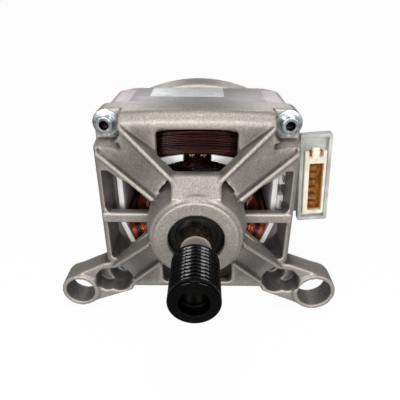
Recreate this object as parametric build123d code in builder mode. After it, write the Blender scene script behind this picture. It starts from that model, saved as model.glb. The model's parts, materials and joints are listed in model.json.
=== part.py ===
from build123d import *
from math import asin, cos, degrees, pi, radians, sin, sqrt, tan
import os

import numpy

# A washing machine motor: a two-pole commutator motor with cast end shields and a belt pulley.
#
# Millimetres. The origin is on the shaft axis at the middle of the belt track. -Y points from the
# motor towards the pulley, +X is right as the pulley is looked at, and +Z is up. Depths are counted
# backwards from the hub's front face, and depth planes face the pulley.

os.makedirs("parts", exist_ok=True)

# Belt pulley: poly-V ribs of section J
rib_count = 10
rib_pitch = 2.34
rib_crest = 0.5
rib_depth = 2.06
rib_angle = 40.0
pulley_radius = 11.05
pulley_front_land = 2.2
pulley_rear_land = 1.4
pulley_bore_radius = 5.65
pulley_mouth_radius = 6.5
shaft_recess = 5.4
pulley_mouth_chamfer = 0.8
rear_land_radius = 9.6

# Stations along the shaft, as depths behind the hub's front face
pulley_gap = 17.3
rim_depth = 27.0
stator_front_depth = 54.0
stack_length = 40.0
rear_frame_length = 24.0
rear_hub_reach = 60.0

# Stator core
frame_half = 55.0
corner_inset = 1.5
step_half = 39.0
frame_corner_radius = 6.0
stator_slot_room = 1.2
stator_slot_radius = 7.0

# Rotor
rotor_radius = 31.0
air_gap = 0.6
rotor_slots = 24
slot_width = 3.4
slot_bottom_radius = 19.0
slot_top_radius = 30.0
slot_mouth = 1.8
winding_clearance = 0.2
wedge_thickness = 0.8
insulator_thickness = 1.0
winding_head_length = 15.5
winding_head_radius = 25.0
winding_nose_radius = 21.5
winding_nose_length = 3.5
winding_bore_radius = 11.0

# Field coils: a round bundle with its outer layer wound, and the points of its centre line
coil_slot_x = 36.5
coil_slot_z = 15.5
coil_shoulder_x = 20.5
coil_shoulder_z = 34.6
coil_crown_z = 36.0
coil_stand_off = 9.6
coil_core_radius = 5.4
coil_wire_radius = 0.6
coil_loops = 22
coil_layer_gap = 0.45
coil_lead = 12.0

# Coil insulators
liner_thickness = 3.0
liner_x = 45.45
liner_straight = 17.0
liner_tip_x = 39.0
liner_tip_z = 30.6
liner_length = 10.0
cradle_gap = 0.6
cradle_thickness = 1.2
cradle_half_width = 17.4
cradle_bottom = 27.2
cradle_back = 1.7
cradle_reach = 15.8
base_thickness = 1.0
base_top = 44.0
tab_inner_x = 7.7
tab_thickness = 1.3
tab_outline = ((7.7, 30.8), (8.2, 27.3), (17.1, 24.7), (17.4, 26.4), (22.0, 26.6), (22.4, 28.2),
               (17.4, 29.4))
terminal_block_width = 3.4
terminal_block_height = 9.5
terminal_block_length = 11.0
terminal_block_upper_z = 15.6
terminal_block_lower_z = -1.0
terminal_width = 1.6
terminal_thickness = 0.8
terminal_length = 4.0

# Shaft and bearings
shaft_front_radius = 7.5
shaft_middle_radius = 9.0
shaft_commutator_radius = 8.0
shaft_rear_radius = 6.0
shaft_tacho_radius = 4.0
shoulder_chamfer = 3.8
end_chamfer = 0.6
seat_clearance = 0.02
front_bearing_radius = 17.5
front_bearing_width = 11.0
front_ball_count = 8
rear_bearing_radius = 16.0
rear_bearing_width = 10.0
rear_ball_count = 7
ball_radius = 2.9765
ball_play = 0.12
race_shoulder = 2.0
seal_thickness = 0.8
seal_inset = 0.25
seal_gap = 0.2
cage_half_width = 3.5
cage_half_height = 0.9
pocket_play = 0.06
retaining_ring_thickness = 1.2
retaining_ring_height = 1.8
retaining_groove_depth = 0.7
preload_thickness = 0.5
preload_height = 1.1
retaining_opening = 3.0

# Front bracket
hub_radius = 23.35
hub_opening_radius = 14.24
hub_lip = 4.0
hub_length = 24.0
hub_edge_radius = 2.0
neck_radius = 26.4
neck_start = 14.0
neck_flat_half = 12.3
upper_neck = ((12.8, 29.8), (14.8, 29.8), (32.0, 23.6), (32.0, 20.0), (24.0, 22.0))
neck_ridge_half = 1.1
neck_ridge_foot = (9.0, 21.2)
neck_ridge_top = (12.6, 29.2)
neck_ridge_depths = (1.8, 11.4)
lower_neck = ((13.0, -27.4), (32.0, -27.4), (32.0, -23.4), (24.0, -23.4))
wall = 4.0
plate = 5.0
corner_solid = 22.0
front_crown = 2.3
front_edge_radius = 7.0
bolt_spacing = 96.5
upper_seat_depth = 40.0
lower_seat_depth = 49.0
seat_radius = 8.6
swoop_height = 2.4
ridge_width = 2.4
strut_thickness = 11.0
web_drop_hub = 4.0
web_drop_rim = 4.5
side_rib_height = 6.2
side_rib_z = -2.6
side_rib_front = 26.2
window_corner = 3.0
leg_spacing = 145.0
leg_drop = 55.0
left_bore_radius = 8.75
right_bore_radius = 10.25
leg_tube_wall = 2.65
leg_tube_length = 15.5
leg_plate_length = 13.5
leg_tube_step = 1.5
leg_top_angle = 80.0
leg_foot_angle = -113.0
recess_floor = 3.0
recess_corner = 3.0
lower_boss_wall = 1.8

# Struts of the right side, hub end first, as they are seen along the shaft
upper_strut = ((12.1, 29.3), (40.1, 51.7), (54.3, 34.7), (22.5, 15.6))
lower_strut = ((25.4, -7.6), (50.7, -35.8), (37.8, -48.7), (19.8, -24.8))
rear_strut = ((8.5, 19.5), (35.0, 46.0), (46.0, 35.0), (19.5, 8.5))
upper_strut_angle = 35.0
lower_strut_angle = -50.5
rear_strut_angle = 45.0
strut_slope = ((22.0, 8.0), (64.0, 27.0))
rear_strut_slope = ((21.0, 151.0), (66.0, 116.0))

# Windows of the right side, as they are seen along the shaft
top_window = ((-21.0, 48.2), (21.0, 48.2), (21.0, 31.0), (12.3, 24.0), (-12.3, 24.0), (-21.0, 31.0))
bottom_window = ((-21.0, -48.4), (21.0, -48.4), (21.0, -36.0), (12.3, -24.0), (-12.3, -24.0), (-21.0, -36.0))
upper_side_window = ((51.2, 25.6), (51.2, 2.8), (48.8, 0.6), (24.0, 0.6), (24.0, 10.0), (43.5, 22.3),
                     (47.5, 25.6))
lower_side_window = ((50.8, -5.8), (50.8, -30.5), (46.9, -31.0), (24.0, -8.5), (24.0, -5.8))
recess_outline = ((42.6, -40.4), (48.0, -38.2), (58.0, -39.4), (62.5, -44.6), (62.3, -51.8), (57.0, -55.6),
                  (40.6, -51.8), (39.6, -46.5))
leg_outline_top = ((45.0, -33.0), (56.0, -35.0))
leg_outline_foot = (40.0, -55.0)

# Rear bracket
rear_front_half = 53.5
rear_back_half = 50.0
rear_inner = 47.4
rear_corner_solid = 18.5
rear_crown = ((-40.0, 44.0), (-40.0, 48.1), (0.0, 57.3), (40.0, 48.1), (40.0, 44.0))
rear_plate = 5.0
rear_edge_radius = 2.5
rear_hub_radius = 22.5
rear_hub_length = 15.5
rear_hub_lip = 1.4
rear_hub_opening = 13.6
rear_opening_radius = 21.5
rear_top_window = ((-24.0, 46.0), (24.0, 46.0), (24.0, 39.0), (12.0, 27.0), (-12.0, 27.0), (-24.0, 39.0))
rear_side_window = ((46.0, 29.0), (46.0, 10.5), (24.0, 10.5), (24.0, 12.0), (40.0, 29.0))

# Through bolts and washers
bolt_radius = 2.5
bolt_clearance = 0.4
bolt_head_radius = 4.6
bolt_head_height = 5.0
bolt_socket_radius = 2.4
bolt_socket_depth = 3.2
bolt_edge = 0.6
washer_radius = 7.2
washer_thickness = 1.2
thread_engagement = 12.0

# Commutator and brush gear
commutator_radius = 18.5
commutator_length = 24.0
commutator_bars = 24
bar_gap = 0.8
bar_height = 7.5
riser_length = 3.0
riser_height = 1.6
commutator_offset = 18.0
brush_width = 5.0
brush_depth = 12.5
brush_length = 24.0
brush_play = 0.08
brush_contact_gap = 0.12
tube_wall = 0.8
tube_tip_gap = 1.8
holder_wall = 2.6
holder_tip_gap = 3.0
holder_end = 53.0
brush_cap_length = 3.0
brush_cap_boss = 1.6
brush_terminal_length = 7.0
brush_terminal_width = 4.8
brush_terminal_thickness = 0.8
spring_turns = 7
spring_wire_radius = 0.3
spring_radius = 1.9
spring_end_gap = 0.35

# Connector, in a frame that leans with it and starts at the housing's upper left corner
connector_tilt = 4.5
connector_x = 63.2
connector_z = 26.9
contact_count = 6
contact_pitch = 5.0
contact_thickness = 1.0
contact_width = 5.0
contact_length = 4.6
contact_first = 11.5
contact_inset = 0.6
housing_width = 12.8
housing_height = 42.0
housing_length = 21.0
housing_wall = 1.5
housing_edge = 0.8
cavity_left_wall = 2.8
cavity_top = 8.0
cavity_foot = 2.2
cavity_depth = 8.6
key_inset = 2.4
key_width = 1.6
key_depth = 3.2
key_length = 12.0
latch_width = 4.6
latch_height = 1.6
tray_side = 3.3
tray_width = 18.3
tray_drop = 46.0
tray_height = 56.6
tray_wall = 2.0
tray_depth = 5.0
tray_back = 1.5
tray_corner = 1.0
sleeve_wall = 1.4
tray_foot_width = 10.0
tray_foot_half = 15.0
tray_foot_set_back = 5.0
connector_set_back = 1.0

# Tacho generator
magnet_radius = 8.5
magnet_length = 7.0
tacho_coil_inner = 10.5
tacho_coil_outer = 14.8
tacho_cap_radius = 16.5
tacho_cap_length = 13.0
tacho_cap_wall = 1.3
tacho_flange_radius = 22.0
tacho_flange_thickness = 2.0
tacho_screw_radius = 1.5
tacho_screw_circle = 19.3
tacho_screw_head_radius = 2.4
tacho_screw_head_height = 1.6
tacho_screw_length = 9.0
tacho_screw_slot = 0.7
tacho_gap = 0.6

# Label on the stator's top
label_width = 44.0
label_length = 24.0
label_thickness = 0.25
label_offset_x = -6.5
label_front_margin = 15.9

# Derived sizes
ribbed_length = rib_count * rib_pitch
pulley_front = -(pulley_front_land + ribbed_length / 2)
pulley_rear = pulley_front + pulley_front_land + ribbed_length + pulley_rear_land
hub_face = pulley_rear + pulley_gap
stator_rear_depth = stator_front_depth + stack_length
rear_plate_depth = stator_rear_depth + rear_frame_length - rear_plate
rear_frame_depth = stator_rear_depth + rear_frame_length
rear_face_depth = stator_rear_depth + rear_hub_reach
corner_half = frame_half - corner_inset
bolt_half = bolt_spacing / 2
leg_half = leg_spacing / 2
bore_radius = rotor_radius + air_gap
coil_layer_radius = coil_core_radius + coil_layer_gap + coil_wire_radius
coil_outer_radius = coil_layer_radius + coil_wire_radius
commutator_depth = stator_rear_depth + commutator_offset
commutator_end = commutator_depth + commutator_length
brush_tube_half = brush_width / 2 + brush_play + tube_wall
brush_tube_half_depth = brush_depth / 2 + brush_play + tube_wall
holder_half = brush_tube_half + holder_wall
holder_half_depth = brush_tube_half_depth + holder_wall / 2
brush_depth_station = rear_frame_depth + holder_half_depth
front_bearing_depth = hub_lip
rear_bearing_depth = rear_face_depth - rear_hub_length + rear_hub_lip + preload_height
rear_bearing_end = rear_bearing_depth + rear_bearing_width
magnet_front = rear_face_depth + tacho_gap
tacho_shaft_end = magnet_front + magnet_length + tacho_gap


def depth_plane(depth):
    """Plane that faces the pulley at a depth behind the hub face: local x is right, local y is up."""
    return Plane(origin=(0, hub_face + depth, 0), x_dir=(1, 0, 0), z_dir=(0, -1, 0))


# Half-plane through the shaft axis: local x is the radius and local y is the depth
axial_plane = Plane(origin=(0, hub_face, 0), x_dir=(1, 0, 0), z_dir=(0, 0, 1))
# Upright plane along the shaft: local x is the depth and local y is up
side_plane = Plane(origin=(0, hub_face, 0), x_dir=(0, 1, 0), z_dir=(1, 0, 0))
shaft_axis = Axis((0, 0, 0), (0, 1, 0))


def mirrored(points):
    """The same outline on the left side."""
    return tuple((-x, z) for x, z in points)


def rounded_outline(points, radius):
    """Closed outline through points, with its corners rounded."""
    with BuildSketch() as made:
        with BuildLine():
            Polyline(*points, close=True)
        make_face()
        if radius > 0:
            fillet(made.vertices(), radius)
    return made.sketch


def shaft_profile(points):
    """Closed outline through pairs of radius and depth, for a solid of revolution."""
    with BuildSketch() as made:
        with BuildLine():
            Polyline(*points, close=True)
        make_face()
    return made.sketch


def ring(inner, outer, front, rear):
    """Plain ring about the shaft, from its radii and its depths."""
    with BuildPart() as made:
        with BuildSketch(axial_plane):
            with Locations(((inner + outer) / 2, (front + rear) / 2)):
                Rectangle(outer - inner, rear - front)
        revolve(axis=shaft_axis)
    return made.part


def block(x, z, depth):
    """Box from its ranges along X, along Z and in depth."""
    with BuildPart() as made:
        with BuildSketch(depth_plane(depth[0])):
            with Locations(((x[0] + x[1]) / 2, (z[0] + z[1]) / 2)):
                Rectangle(x[1] - x[0], z[1] - z[0])
        extrude(amount=depth[0] - depth[1])
    return made.part


def crowned_outline(crown):
    """Outline of the front bracket: a square with an arched top."""
    with BuildSketch() as made:
        with BuildLine():
            Polyline((-frame_half, frame_half), (-frame_half, -frame_half), (frame_half, -frame_half),
                     (frame_half, frame_half))
            ThreePointArc((frame_half, frame_half), (0, frame_half + crown), (-frame_half, frame_half))
        make_face()
    return made.sketch


def hollow_outline(inner, corner):
    """Outline of the hollow in an end shield: its cut corners leave the bolts in solid metal."""
    cut = inner - corner
    points = ((-inner, -cut), (-cut, -inner), (cut, -inner), (inner, -cut),
              (inner, cut), (cut, inner), (-cut, inner), (-inner, cut))
    return rounded_outline(points, window_corner)


def strut_outline(corners, inset):
    """Strut outline with its long sides moved in by inset."""
    hub_a, rim_a, rim_b, hub_b = (Vector(x, z) for x, z in corners)
    across = (hub_b - hub_a).normalized() * inset
    points = (hub_a + across, rim_a + across, rim_b - across, hub_b - across)
    with BuildSketch() as made:
        with BuildLine():
            Polyline(*points, close=True)
        make_face()
    return made.sketch


def strut_slab(slope, hub_layer, rim_layer, angle):
    """Sloping slab along a strut: each layer is a pair of depths added to the slope's own depth."""
    (near, near_depth), (far, far_depth) = slope
    outward = (cos(radians(angle)), 0, sin(radians(angle)))
    upright = Plane(origin=(0, hub_face, 0), x_dir=outward, z_dir=(-outward[2], 0, outward[0]))
    with BuildPart() as made:
        with BuildSketch(upright):
            with BuildLine():
                Polyline((near, near_depth + hub_layer[0]), (far, far_depth + rim_layer[0]),
                         (far, far_depth + rim_layer[1]), (near, near_depth + hub_layer[1]), close=True)
            make_face()
        extrude(amount=frame_half, both=True)
    return made.part


def strut(corners, inset, slab):
    """Prism of a strut outline, kept where it lies in a sloping slab."""
    with BuildPart() as made:
        with BuildSketch(depth_plane(0)):
            add(strut_outline(corners, inset))
        extrude(amount=-(rear_face_depth + rim_depth))
        add(slab, mode=Mode.INTERSECT)
    return made.part


def biarc_joint(start, start_way, end, end_way):
    """Point and direction where two tangent arcs meet on their way from start to end."""
    gap = end - start
    both = start_way + end_way
    spread = 2 * (1 - start_way.dot(end_way))
    along = gap.dot(both)
    reach = (sqrt(along * along + spread * gap.dot(gap)) - along) / spread
    joint = (start + end + (start_way - end_way) * reach) * 0.5
    return joint, ((end - end_way * reach) - (start + start_way * reach)).normalized()


def biarc(start, start_way, end, end_way):
    """Two tangent arcs from one point and direction to another, drawn in the line in progress."""
    joint, joint_way = biarc_joint(start, start_way, end, end_way)
    TangentArc(start, joint, tangent=start_way)
    TangentArc(joint, end, tangent=joint_way)


# Front bracket: a crowned box with a pierced front plate, four channel struts, a hub and two legs
front_plate_rear = rim_depth + plate
strut_sides = ((upper_strut, upper_strut_angle), (lower_strut, lower_strut_angle))
right_and_left = ((1, right_bore_radius), (-1, left_bore_radius))
with BuildPart() as front_bracket:
    with BuildSketch(depth_plane(rim_depth)):
        add(crowned_outline(front_crown))
    extrude(amount=rim_depth - stator_front_depth)
    fillet(front_bracket.edges().filter_by(Axis.Y), frame_corner_radius)
    front_face = front_bracket.faces().sort_by(Axis.Y)[0]
    fillet(front_face.edges().sort_by(Axis.Z)[-1], front_edge_radius)
    with BuildSketch(depth_plane(front_plate_rear)):
        add(hollow_outline(frame_half - wall, corner_solid))
    extrude(amount=front_plate_rear - stator_front_depth, mode=Mode.SUBTRACT)
    with BuildSketch(depth_plane(rim_depth)):
        add(rounded_outline(top_window, window_corner))
        add(rounded_outline(bottom_window, window_corner))
        for outline in (upper_side_window, lower_side_window):
            add(rounded_outline(outline, 0))
            add(rounded_outline(mirrored(outline), 0))
    extrude(amount=-plate, mode=Mode.SUBTRACT)
    # Legs: a plate that reaches out from each lower corner to a tube
    for side, bore in right_and_left:
        tube = bore + leg_tube_wall
        top, foot = ((leg_half + tube * cos(angle), -leg_drop + tube * sin(angle))
                     for angle in (radians(leg_top_angle), radians(leg_foot_angle)))
        points = (*leg_outline_top, top, (leg_half, -leg_drop), foot, leg_outline_foot)
        with BuildSketch(depth_plane(rim_depth)):
            with BuildLine():
                Polyline(*(points if side > 0 else mirrored(points)), close=True)
            make_face()
        extrude(amount=-leg_plate_length)
        with BuildSketch(depth_plane(rim_depth - leg_tube_step)):
            with Locations((side * leg_half, -leg_drop)):
                Circle(tube)
        extrude(amount=-leg_tube_length)
        # Boss that holds the lower bolt, from the leg to the stator
        boss_front = rim_depth + leg_plate_length - recess_floor
        with BuildSketch(depth_plane(boss_front)):
            with Locations((side * bolt_half, -bolt_half)):
                Circle(washer_radius + bolt_clearance + lower_boss_wall)
        extrude(amount=boss_front - stator_front_depth)
    # Struts
    for corners, angle in strut_sides:
        slab = (0, strut_thickness), (0, strut_thickness)
        add(strut(corners, 0, strut_slab(strut_slope, *slab, angle)))
        add(strut(mirrored(corners), 0, strut_slab(strut_slope, *slab, 180 - angle)))
    # Side ribs
    for side in (1, -1):
        rib_x = sorted((side * hub_radius, side * (frame_half - wall / 2)))
        rib_z = (side_rib_z - side_rib_height / 2, side_rib_z + side_rib_height / 2)
        add(block(rib_x, rib_z, (side_rib_front, front_plate_rear)))
    # Hub with its neck, flat at its top and foot between the struts
    with BuildSketch(axial_plane):
        with BuildLine():
            edge = hub_radius - hub_edge_radius
            Polyline((hub_opening_radius, hub_length), (hub_opening_radius, 0), (edge, 0))
            RadiusArc((edge, 0), (hub_radius, hub_edge_radius), hub_edge_radius)
            Polyline((hub_radius, hub_edge_radius), (neck_radius, neck_start), (neck_radius, hub_length),
                     (hub_opening_radius, hub_length))
        make_face()
    revolve(axis=shaft_axis)
    with BuildSketch(side_plane):
        for up, outline in ((1, upper_neck), (-1, lower_neck)):
            with BuildLine():
                Polyline((hub_edge_radius, up * hub_opening_radius), (hub_edge_radius, up * (hub_radius - 1)),
                         *outline, (hub_length, up * hub_opening_radius), close=True)
            make_face()
    extrude(amount=neck_flat_half, both=True)
    # Ridges at the upper neck's sides, in line with the struts' inner ridges
    for side in (1, -1):
        foot = Vector(side * neck_ridge_foot[0], hub_face, neck_ridge_foot[1])
        top = Vector(side * neck_ridge_top[0], hub_face, neck_ridge_top[1])
        along = (top - foot).normalized()
        ridge_length = (top - foot).length
        with BuildSketch(Plane(origin=foot, x_dir=along, z_dir=(-along.Z, 0, along.X))):
            with BuildLine():
                Polyline((0, neck_ridge_depths[0]), (ridge_length, neck_ridge_depths[1]),
                         (ridge_length, neck_start), (0, neck_start), close=True)
            make_face()
        extrude(amount=neck_ridge_half, both=True)
    # Webs of the struts, sunk between their ridges
    for corners, angle in strut_sides:
        web = (-rim_depth, web_drop_hub), (-rim_depth, web_drop_rim if angle > 0 else web_drop_hub)
        add(strut(corners, ridge_width, strut_slab(strut_slope, *web, angle)), mode=Mode.SUBTRACT)
        add(strut(mirrored(corners), ridge_width, strut_slab(strut_slope, *web, 180 - angle)),
            mode=Mode.SUBTRACT)
    # Bearing seat with the groove of its retaining ring
    groove_front = front_bearing_depth + front_bearing_width
    add(ring(0, hub_opening_radius, 0, hub_length), mode=Mode.SUBTRACT)
    add(ring(0, front_bearing_radius + seat_clearance, hub_lip, front_plate_rear + 1), mode=Mode.SUBTRACT)
    add(ring(front_bearing_radius, front_bearing_radius + retaining_groove_depth, groove_front,
             groove_front + retaining_ring_thickness), mode=Mode.SUBTRACT)
    for side, bore in right_and_left:
        # Bolt seat in the upper corner, open to the top and side, with a swoop below it
        inner = bolt_half - seat_radius
        outer = frame_half + wall
        with BuildSketch(depth_plane(0)) as notch:
            with Locations((side * (inner + outer) / 2, (inner + outer) / 2)):
                Rectangle(outer - inner, outer - inner)
            lower_corners = notch.vertices().sort_by(Axis.Y)[:2].sort_by(Axis.X)
            fillet(lower_corners[0 if side > 0 else -1], seat_radius - 1)
        extrude(amount=-upper_seat_depth, mode=Mode.SUBTRACT)
        swoop_x = sorted((side * inner, side * outer))
        with BuildSketch(Plane(origin=(swoop_x[0], hub_face, 0), x_dir=(0, 1, 0), z_dir=(1, 0, 0))):
            with BuildLine():
                swoop_foot = inner - swoop_height
                Polyline((upper_seat_depth, inner + 1), (upper_seat_depth, inner), (rim_depth, swoop_foot),
                         (rim_depth - wall, swoop_foot), (rim_depth - wall, inner + 1), close=True)
            make_face()
        extrude(amount=outer - inner, mode=Mode.SUBTRACT)
        # Recess of the lower bolt, in the root of the leg
        with BuildSketch(depth_plane(0)):
            add(rounded_outline(recess_outline if side > 0 else mirrored(recess_outline), recess_corner))
        extrude(amount=-(rim_depth + leg_plate_length - recess_floor), mode=Mode.SUBTRACT)
        with BuildSketch(depth_plane(rim_depth)):
            with Locations((side * bolt_half, -bolt_half)):
                Circle(washer_radius + bolt_clearance)
        extrude(amount=rim_depth - lower_seat_depth, mode=Mode.SUBTRACT)
        with BuildSketch(depth_plane(rim_depth)):
            with Locations((side * bolt_half, bolt_half), (side * bolt_half, -bolt_half)):
                Circle(bolt_radius + bolt_clearance)
        extrude(amount=rim_depth - stator_front_depth, mode=Mode.SUBTRACT)
        with BuildSketch(depth_plane(0)):
            with Locations((side * leg_half, -leg_drop)):
                Circle(bore)
        extrude(amount=-stator_front_depth, mode=Mode.SUBTRACT)
front_bracket.part.label = "front_bracket"

# Stator core: a lamination stack with a stepped outline, a round bore and a slot each side
slot_inner = coil_slot_x - coil_outer_radius - stator_slot_room
slot_outer = coil_slot_x + coil_outer_radius + stator_slot_room
slot_half = coil_slot_z + coil_outer_radius + stator_slot_room
with BuildPart() as stator_core:
    with BuildSketch(depth_plane(stator_front_depth)) as lamination:
        Rectangle(2 * frame_half, 2 * step_half)
        Rectangle(2 * step_half, 2 * frame_half)
        RectangleRounded(2 * corner_half, 2 * corner_half, frame_corner_radius)
        Circle(bore_radius, mode=Mode.SUBTRACT)
        with Locations(((slot_inner + slot_outer) / 2, 0), (-(slot_inner + slot_outer) / 2, 0)):
            RectangleRounded(slot_outer - slot_inner, 2 * slot_half, stator_slot_radius, mode=Mode.SUBTRACT)
        with GridLocations(bolt_spacing, bolt_spacing, 2, 2):
            Circle(bolt_radius + bolt_clearance, mode=Mode.SUBTRACT)
    extrude(amount=-stack_length)
stator_core.part.label = "stator_core"

# Label on the stator's top
with BuildPart() as label:
    with BuildSketch(Plane.XY.offset(frame_half)):
        label_middle = hub_face + stator_front_depth + label_front_margin + label_length / 2
        with Locations((label_offset_x, label_middle)):
            RectangleRounded(label_width, label_length, 1)
    extrude(amount=label_thickness)
label.part.label = "label"

# Rear bracket: a crowned frame, a pierced rear plate, four struts and the rear hub
rear_sides = (rear_strut_angle, 180 - rear_strut_angle, -rear_strut_angle, 180 + rear_strut_angle)
rear_flips = ((1, 1), (-1, 1), (1, -1), (-1, -1))
rear_slab = (-strut_thickness, 0), (-strut_thickness, 0)
rear_web = (-web_drop_hub, rim_depth), (-web_drop_hub, rim_depth)
with BuildPart() as rear_bracket:
    with BuildSketch(depth_plane(stator_rear_depth)):
        RectangleRounded(2 * rear_front_half, 2 * rear_front_half, frame_corner_radius)
    with BuildSketch(depth_plane(rear_frame_depth)):
        RectangleRounded(2 * rear_back_half, 2 * rear_back_half, frame_corner_radius)
    loft()
    with BuildSketch(depth_plane(stator_rear_depth)):
        with BuildLine():
            foot_left, shoulder_left, crown_top, shoulder_right, foot_right = rear_crown
            Polyline(shoulder_left, foot_left, foot_right, shoulder_right)
            ThreePointArc(shoulder_right, crown_top, shoulder_left)
        make_face()
    extrude(amount=-rear_frame_length)
    fillet(rear_bracket.faces().sort_by(Axis.Y)[-1].edges(), rear_edge_radius)
    with BuildSketch(depth_plane(stator_rear_depth)):
        add(hollow_outline(rear_inner, rear_corner_solid))
    extrude(amount=-(rear_frame_length - rear_plate), mode=Mode.SUBTRACT)
    with BuildSketch(depth_plane(rear_plate_depth)):
        Circle(rear_opening_radius)
        add(rounded_outline(rear_top_window, window_corner))
        add(rounded_outline(tuple((x, -z) for x, z in rear_top_window), window_corner))
        for flip_x, flip_z in rear_flips:
            add(rounded_outline(tuple((flip_x * x, flip_z * z) for x, z in rear_side_window), 0))
    extrude(amount=-rear_plate, mode=Mode.SUBTRACT)
    for (flip_x, flip_z), angle in zip(rear_flips, rear_sides):
        corners = tuple((flip_x * x, flip_z * z) for x, z in rear_strut)
        add(strut(corners, 0, strut_slab(rear_strut_slope, *rear_slab, angle)))
    add(ring(rear_hub_opening, rear_hub_radius, rear_face_depth - rear_hub_length, rear_face_depth))
    for (flip_x, flip_z), angle in zip(rear_flips, rear_sides):
        corners = tuple((flip_x * x, flip_z * z) for x, z in rear_strut)
        web = strut(corners, ridge_width, strut_slab(rear_strut_slope, *rear_web, angle))
        add(web - ring(0, rear_hub_radius, 0, rear_face_depth), mode=Mode.SUBTRACT)
    add(ring(0, rear_hub_opening, rear_frame_depth, rear_face_depth), mode=Mode.SUBTRACT)
    add(ring(0, rear_bearing_radius + seat_clearance, rear_face_depth - rear_hub_length + rear_hub_lip,
             rear_face_depth), mode=Mode.SUBTRACT)
    with BuildSketch(depth_plane(stator_rear_depth)):
        with GridLocations(bolt_spacing, bolt_spacing, 2, 2):
            Circle(bolt_radius + seat_clearance)
    extrude(amount=-thread_engagement, mode=Mode.SUBTRACT)
    with BuildSketch(depth_plane(rear_face_depth)):
        with Locations((0, tacho_screw_circle), (0, -tacho_screw_circle)):
            Circle(tacho_screw_radius + seat_clearance)
    extrude(amount=tacho_screw_length, mode=Mode.SUBTRACT)
rear_bracket.part.label = "rear_bracket"

# Four through bolts: the upper pair seats nearer the front than the lower pair
bolt_end = stator_rear_depth + thread_engagement - 1
with BuildPart() as through_bolts:
    for seat, z in ((upper_seat_depth, bolt_half), (lower_seat_depth, -bolt_half)):
        head_rear = seat - washer_thickness
        head_front = head_rear - bolt_head_height
        for x in (bolt_half, -bolt_half):
            with BuildSketch(depth_plane(head_front)):
                with Locations((x, z)):
                    Circle(bolt_head_radius)
            head = extrude(amount=head_front - head_rear)
            fillet(head.faces().sort_by(Axis.Y)[0].edges(), bolt_edge)
            with BuildSketch(depth_plane(head_rear)):
                with Locations((x, z)):
                    Circle(bolt_radius)
            extrude(amount=head_rear - bolt_end)
            with BuildSketch(depth_plane(head_front)):
                with Locations((x, z)):
                    RegularPolygon(bolt_socket_radius, 6)
            extrude(amount=-bolt_socket_depth, mode=Mode.SUBTRACT)
through_bolts.part.label = "through_bolts"

with BuildPart() as bolt_washers:
    for seat, z in ((upper_seat_depth, bolt_half), (lower_seat_depth, -bolt_half)):
        with BuildSketch(depth_plane(seat)):
            with Locations((bolt_half, z), (-bolt_half, z)):
                Circle(washer_radius)
                Circle(bolt_radius + bolt_clearance / 2, mode=Mode.SUBTRACT)
        extrude(amount=washer_thickness)
bolt_washers.part.label = "bolt_washers"


def coil_steps():
    """Steps of the bundle's centre line, round from the left slot: each is start, direction and end."""
    front = stator_front_depth - coil_stand_off
    rear = stator_rear_depth + coil_stand_off
    rise = coil_crown_z - coil_shoulder_z
    lean = 2 * rise * coil_shoulder_x / (coil_shoulder_x ** 2 + rise ** 2)
    flat = sqrt(1 - lean * lean)
    places = [(Vector(-coil_slot_x, stator_front_depth, coil_slot_z), Vector(0, -1, 0)),
              (Vector(-coil_shoulder_x, front, coil_shoulder_z), Vector(flat, 0, lean)),
              (Vector(coil_shoulder_x, front, coil_shoulder_z), Vector(flat, 0, -lean)),
              (Vector(coil_slot_x, stator_front_depth, coil_slot_z), Vector(0, 1, 0)),
              (Vector(coil_slot_x, stator_rear_depth, coil_slot_z), Vector(0, 1, 0)),
              (Vector(coil_shoulder_x, rear, coil_shoulder_z), Vector(-flat, 0, lean)),
              (Vector(-coil_shoulder_x, rear, coil_shoulder_z), Vector(-flat, 0, -lean)),
              (Vector(-coil_slot_x, stator_rear_depth, coil_slot_z), Vector(0, -1, 0)),
              (Vector(-coil_slot_x, stator_front_depth, coil_slot_z), Vector(0, -1, 0))]
    steps = []
    for (start, start_way), (end, end_way) in zip(places[:-1], places[1:]):
        if (end - start).normalized().dot(start_way) > 0.9999:
            steps.append((start, start_way, end))
        else:
            joint, joint_way = biarc_joint(start, start_way, end, end_way)
            steps.append((start, start_way, joint))
            steps.append((joint, joint_way, end))
    return steps


def carried(point, way, step):
    """A point beside a step and its direction, carried along to the step's end."""
    start, start_way, end = step
    chord = end - start
    turn_axis = start_way.cross(chord)
    if turn_axis.length < 1e-6 * chord.length:
        return point + chord, way
    half_turn = asin(turn_axis.length / chord.length)
    axis = turn_axis.normalized()
    centre = start + axis.cross(start_way) * (chord.length / 2 / sin(half_turn))
    spin = Axis((0, 0, 0), axis)
    angle = degrees(2 * half_turn)
    return centre + (point - centre).rotate(spin, angle), way.rotate(spin, angle)


def draw_step(point, way, end):
    """Line or arc from a point to another, drawn in the line in progress."""
    if (end - point).normalized().dot(way) > 0.99999:
        Line(point, end)
    else:
        TangentArc(point, end, tangent=way)


def bundle_line():
    """Closed centre line of the bundle."""
    with BuildLine() as made:
        for start, start_way, end in coil_steps():
            draw_step(start, start_way, end)
    return made.line


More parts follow.
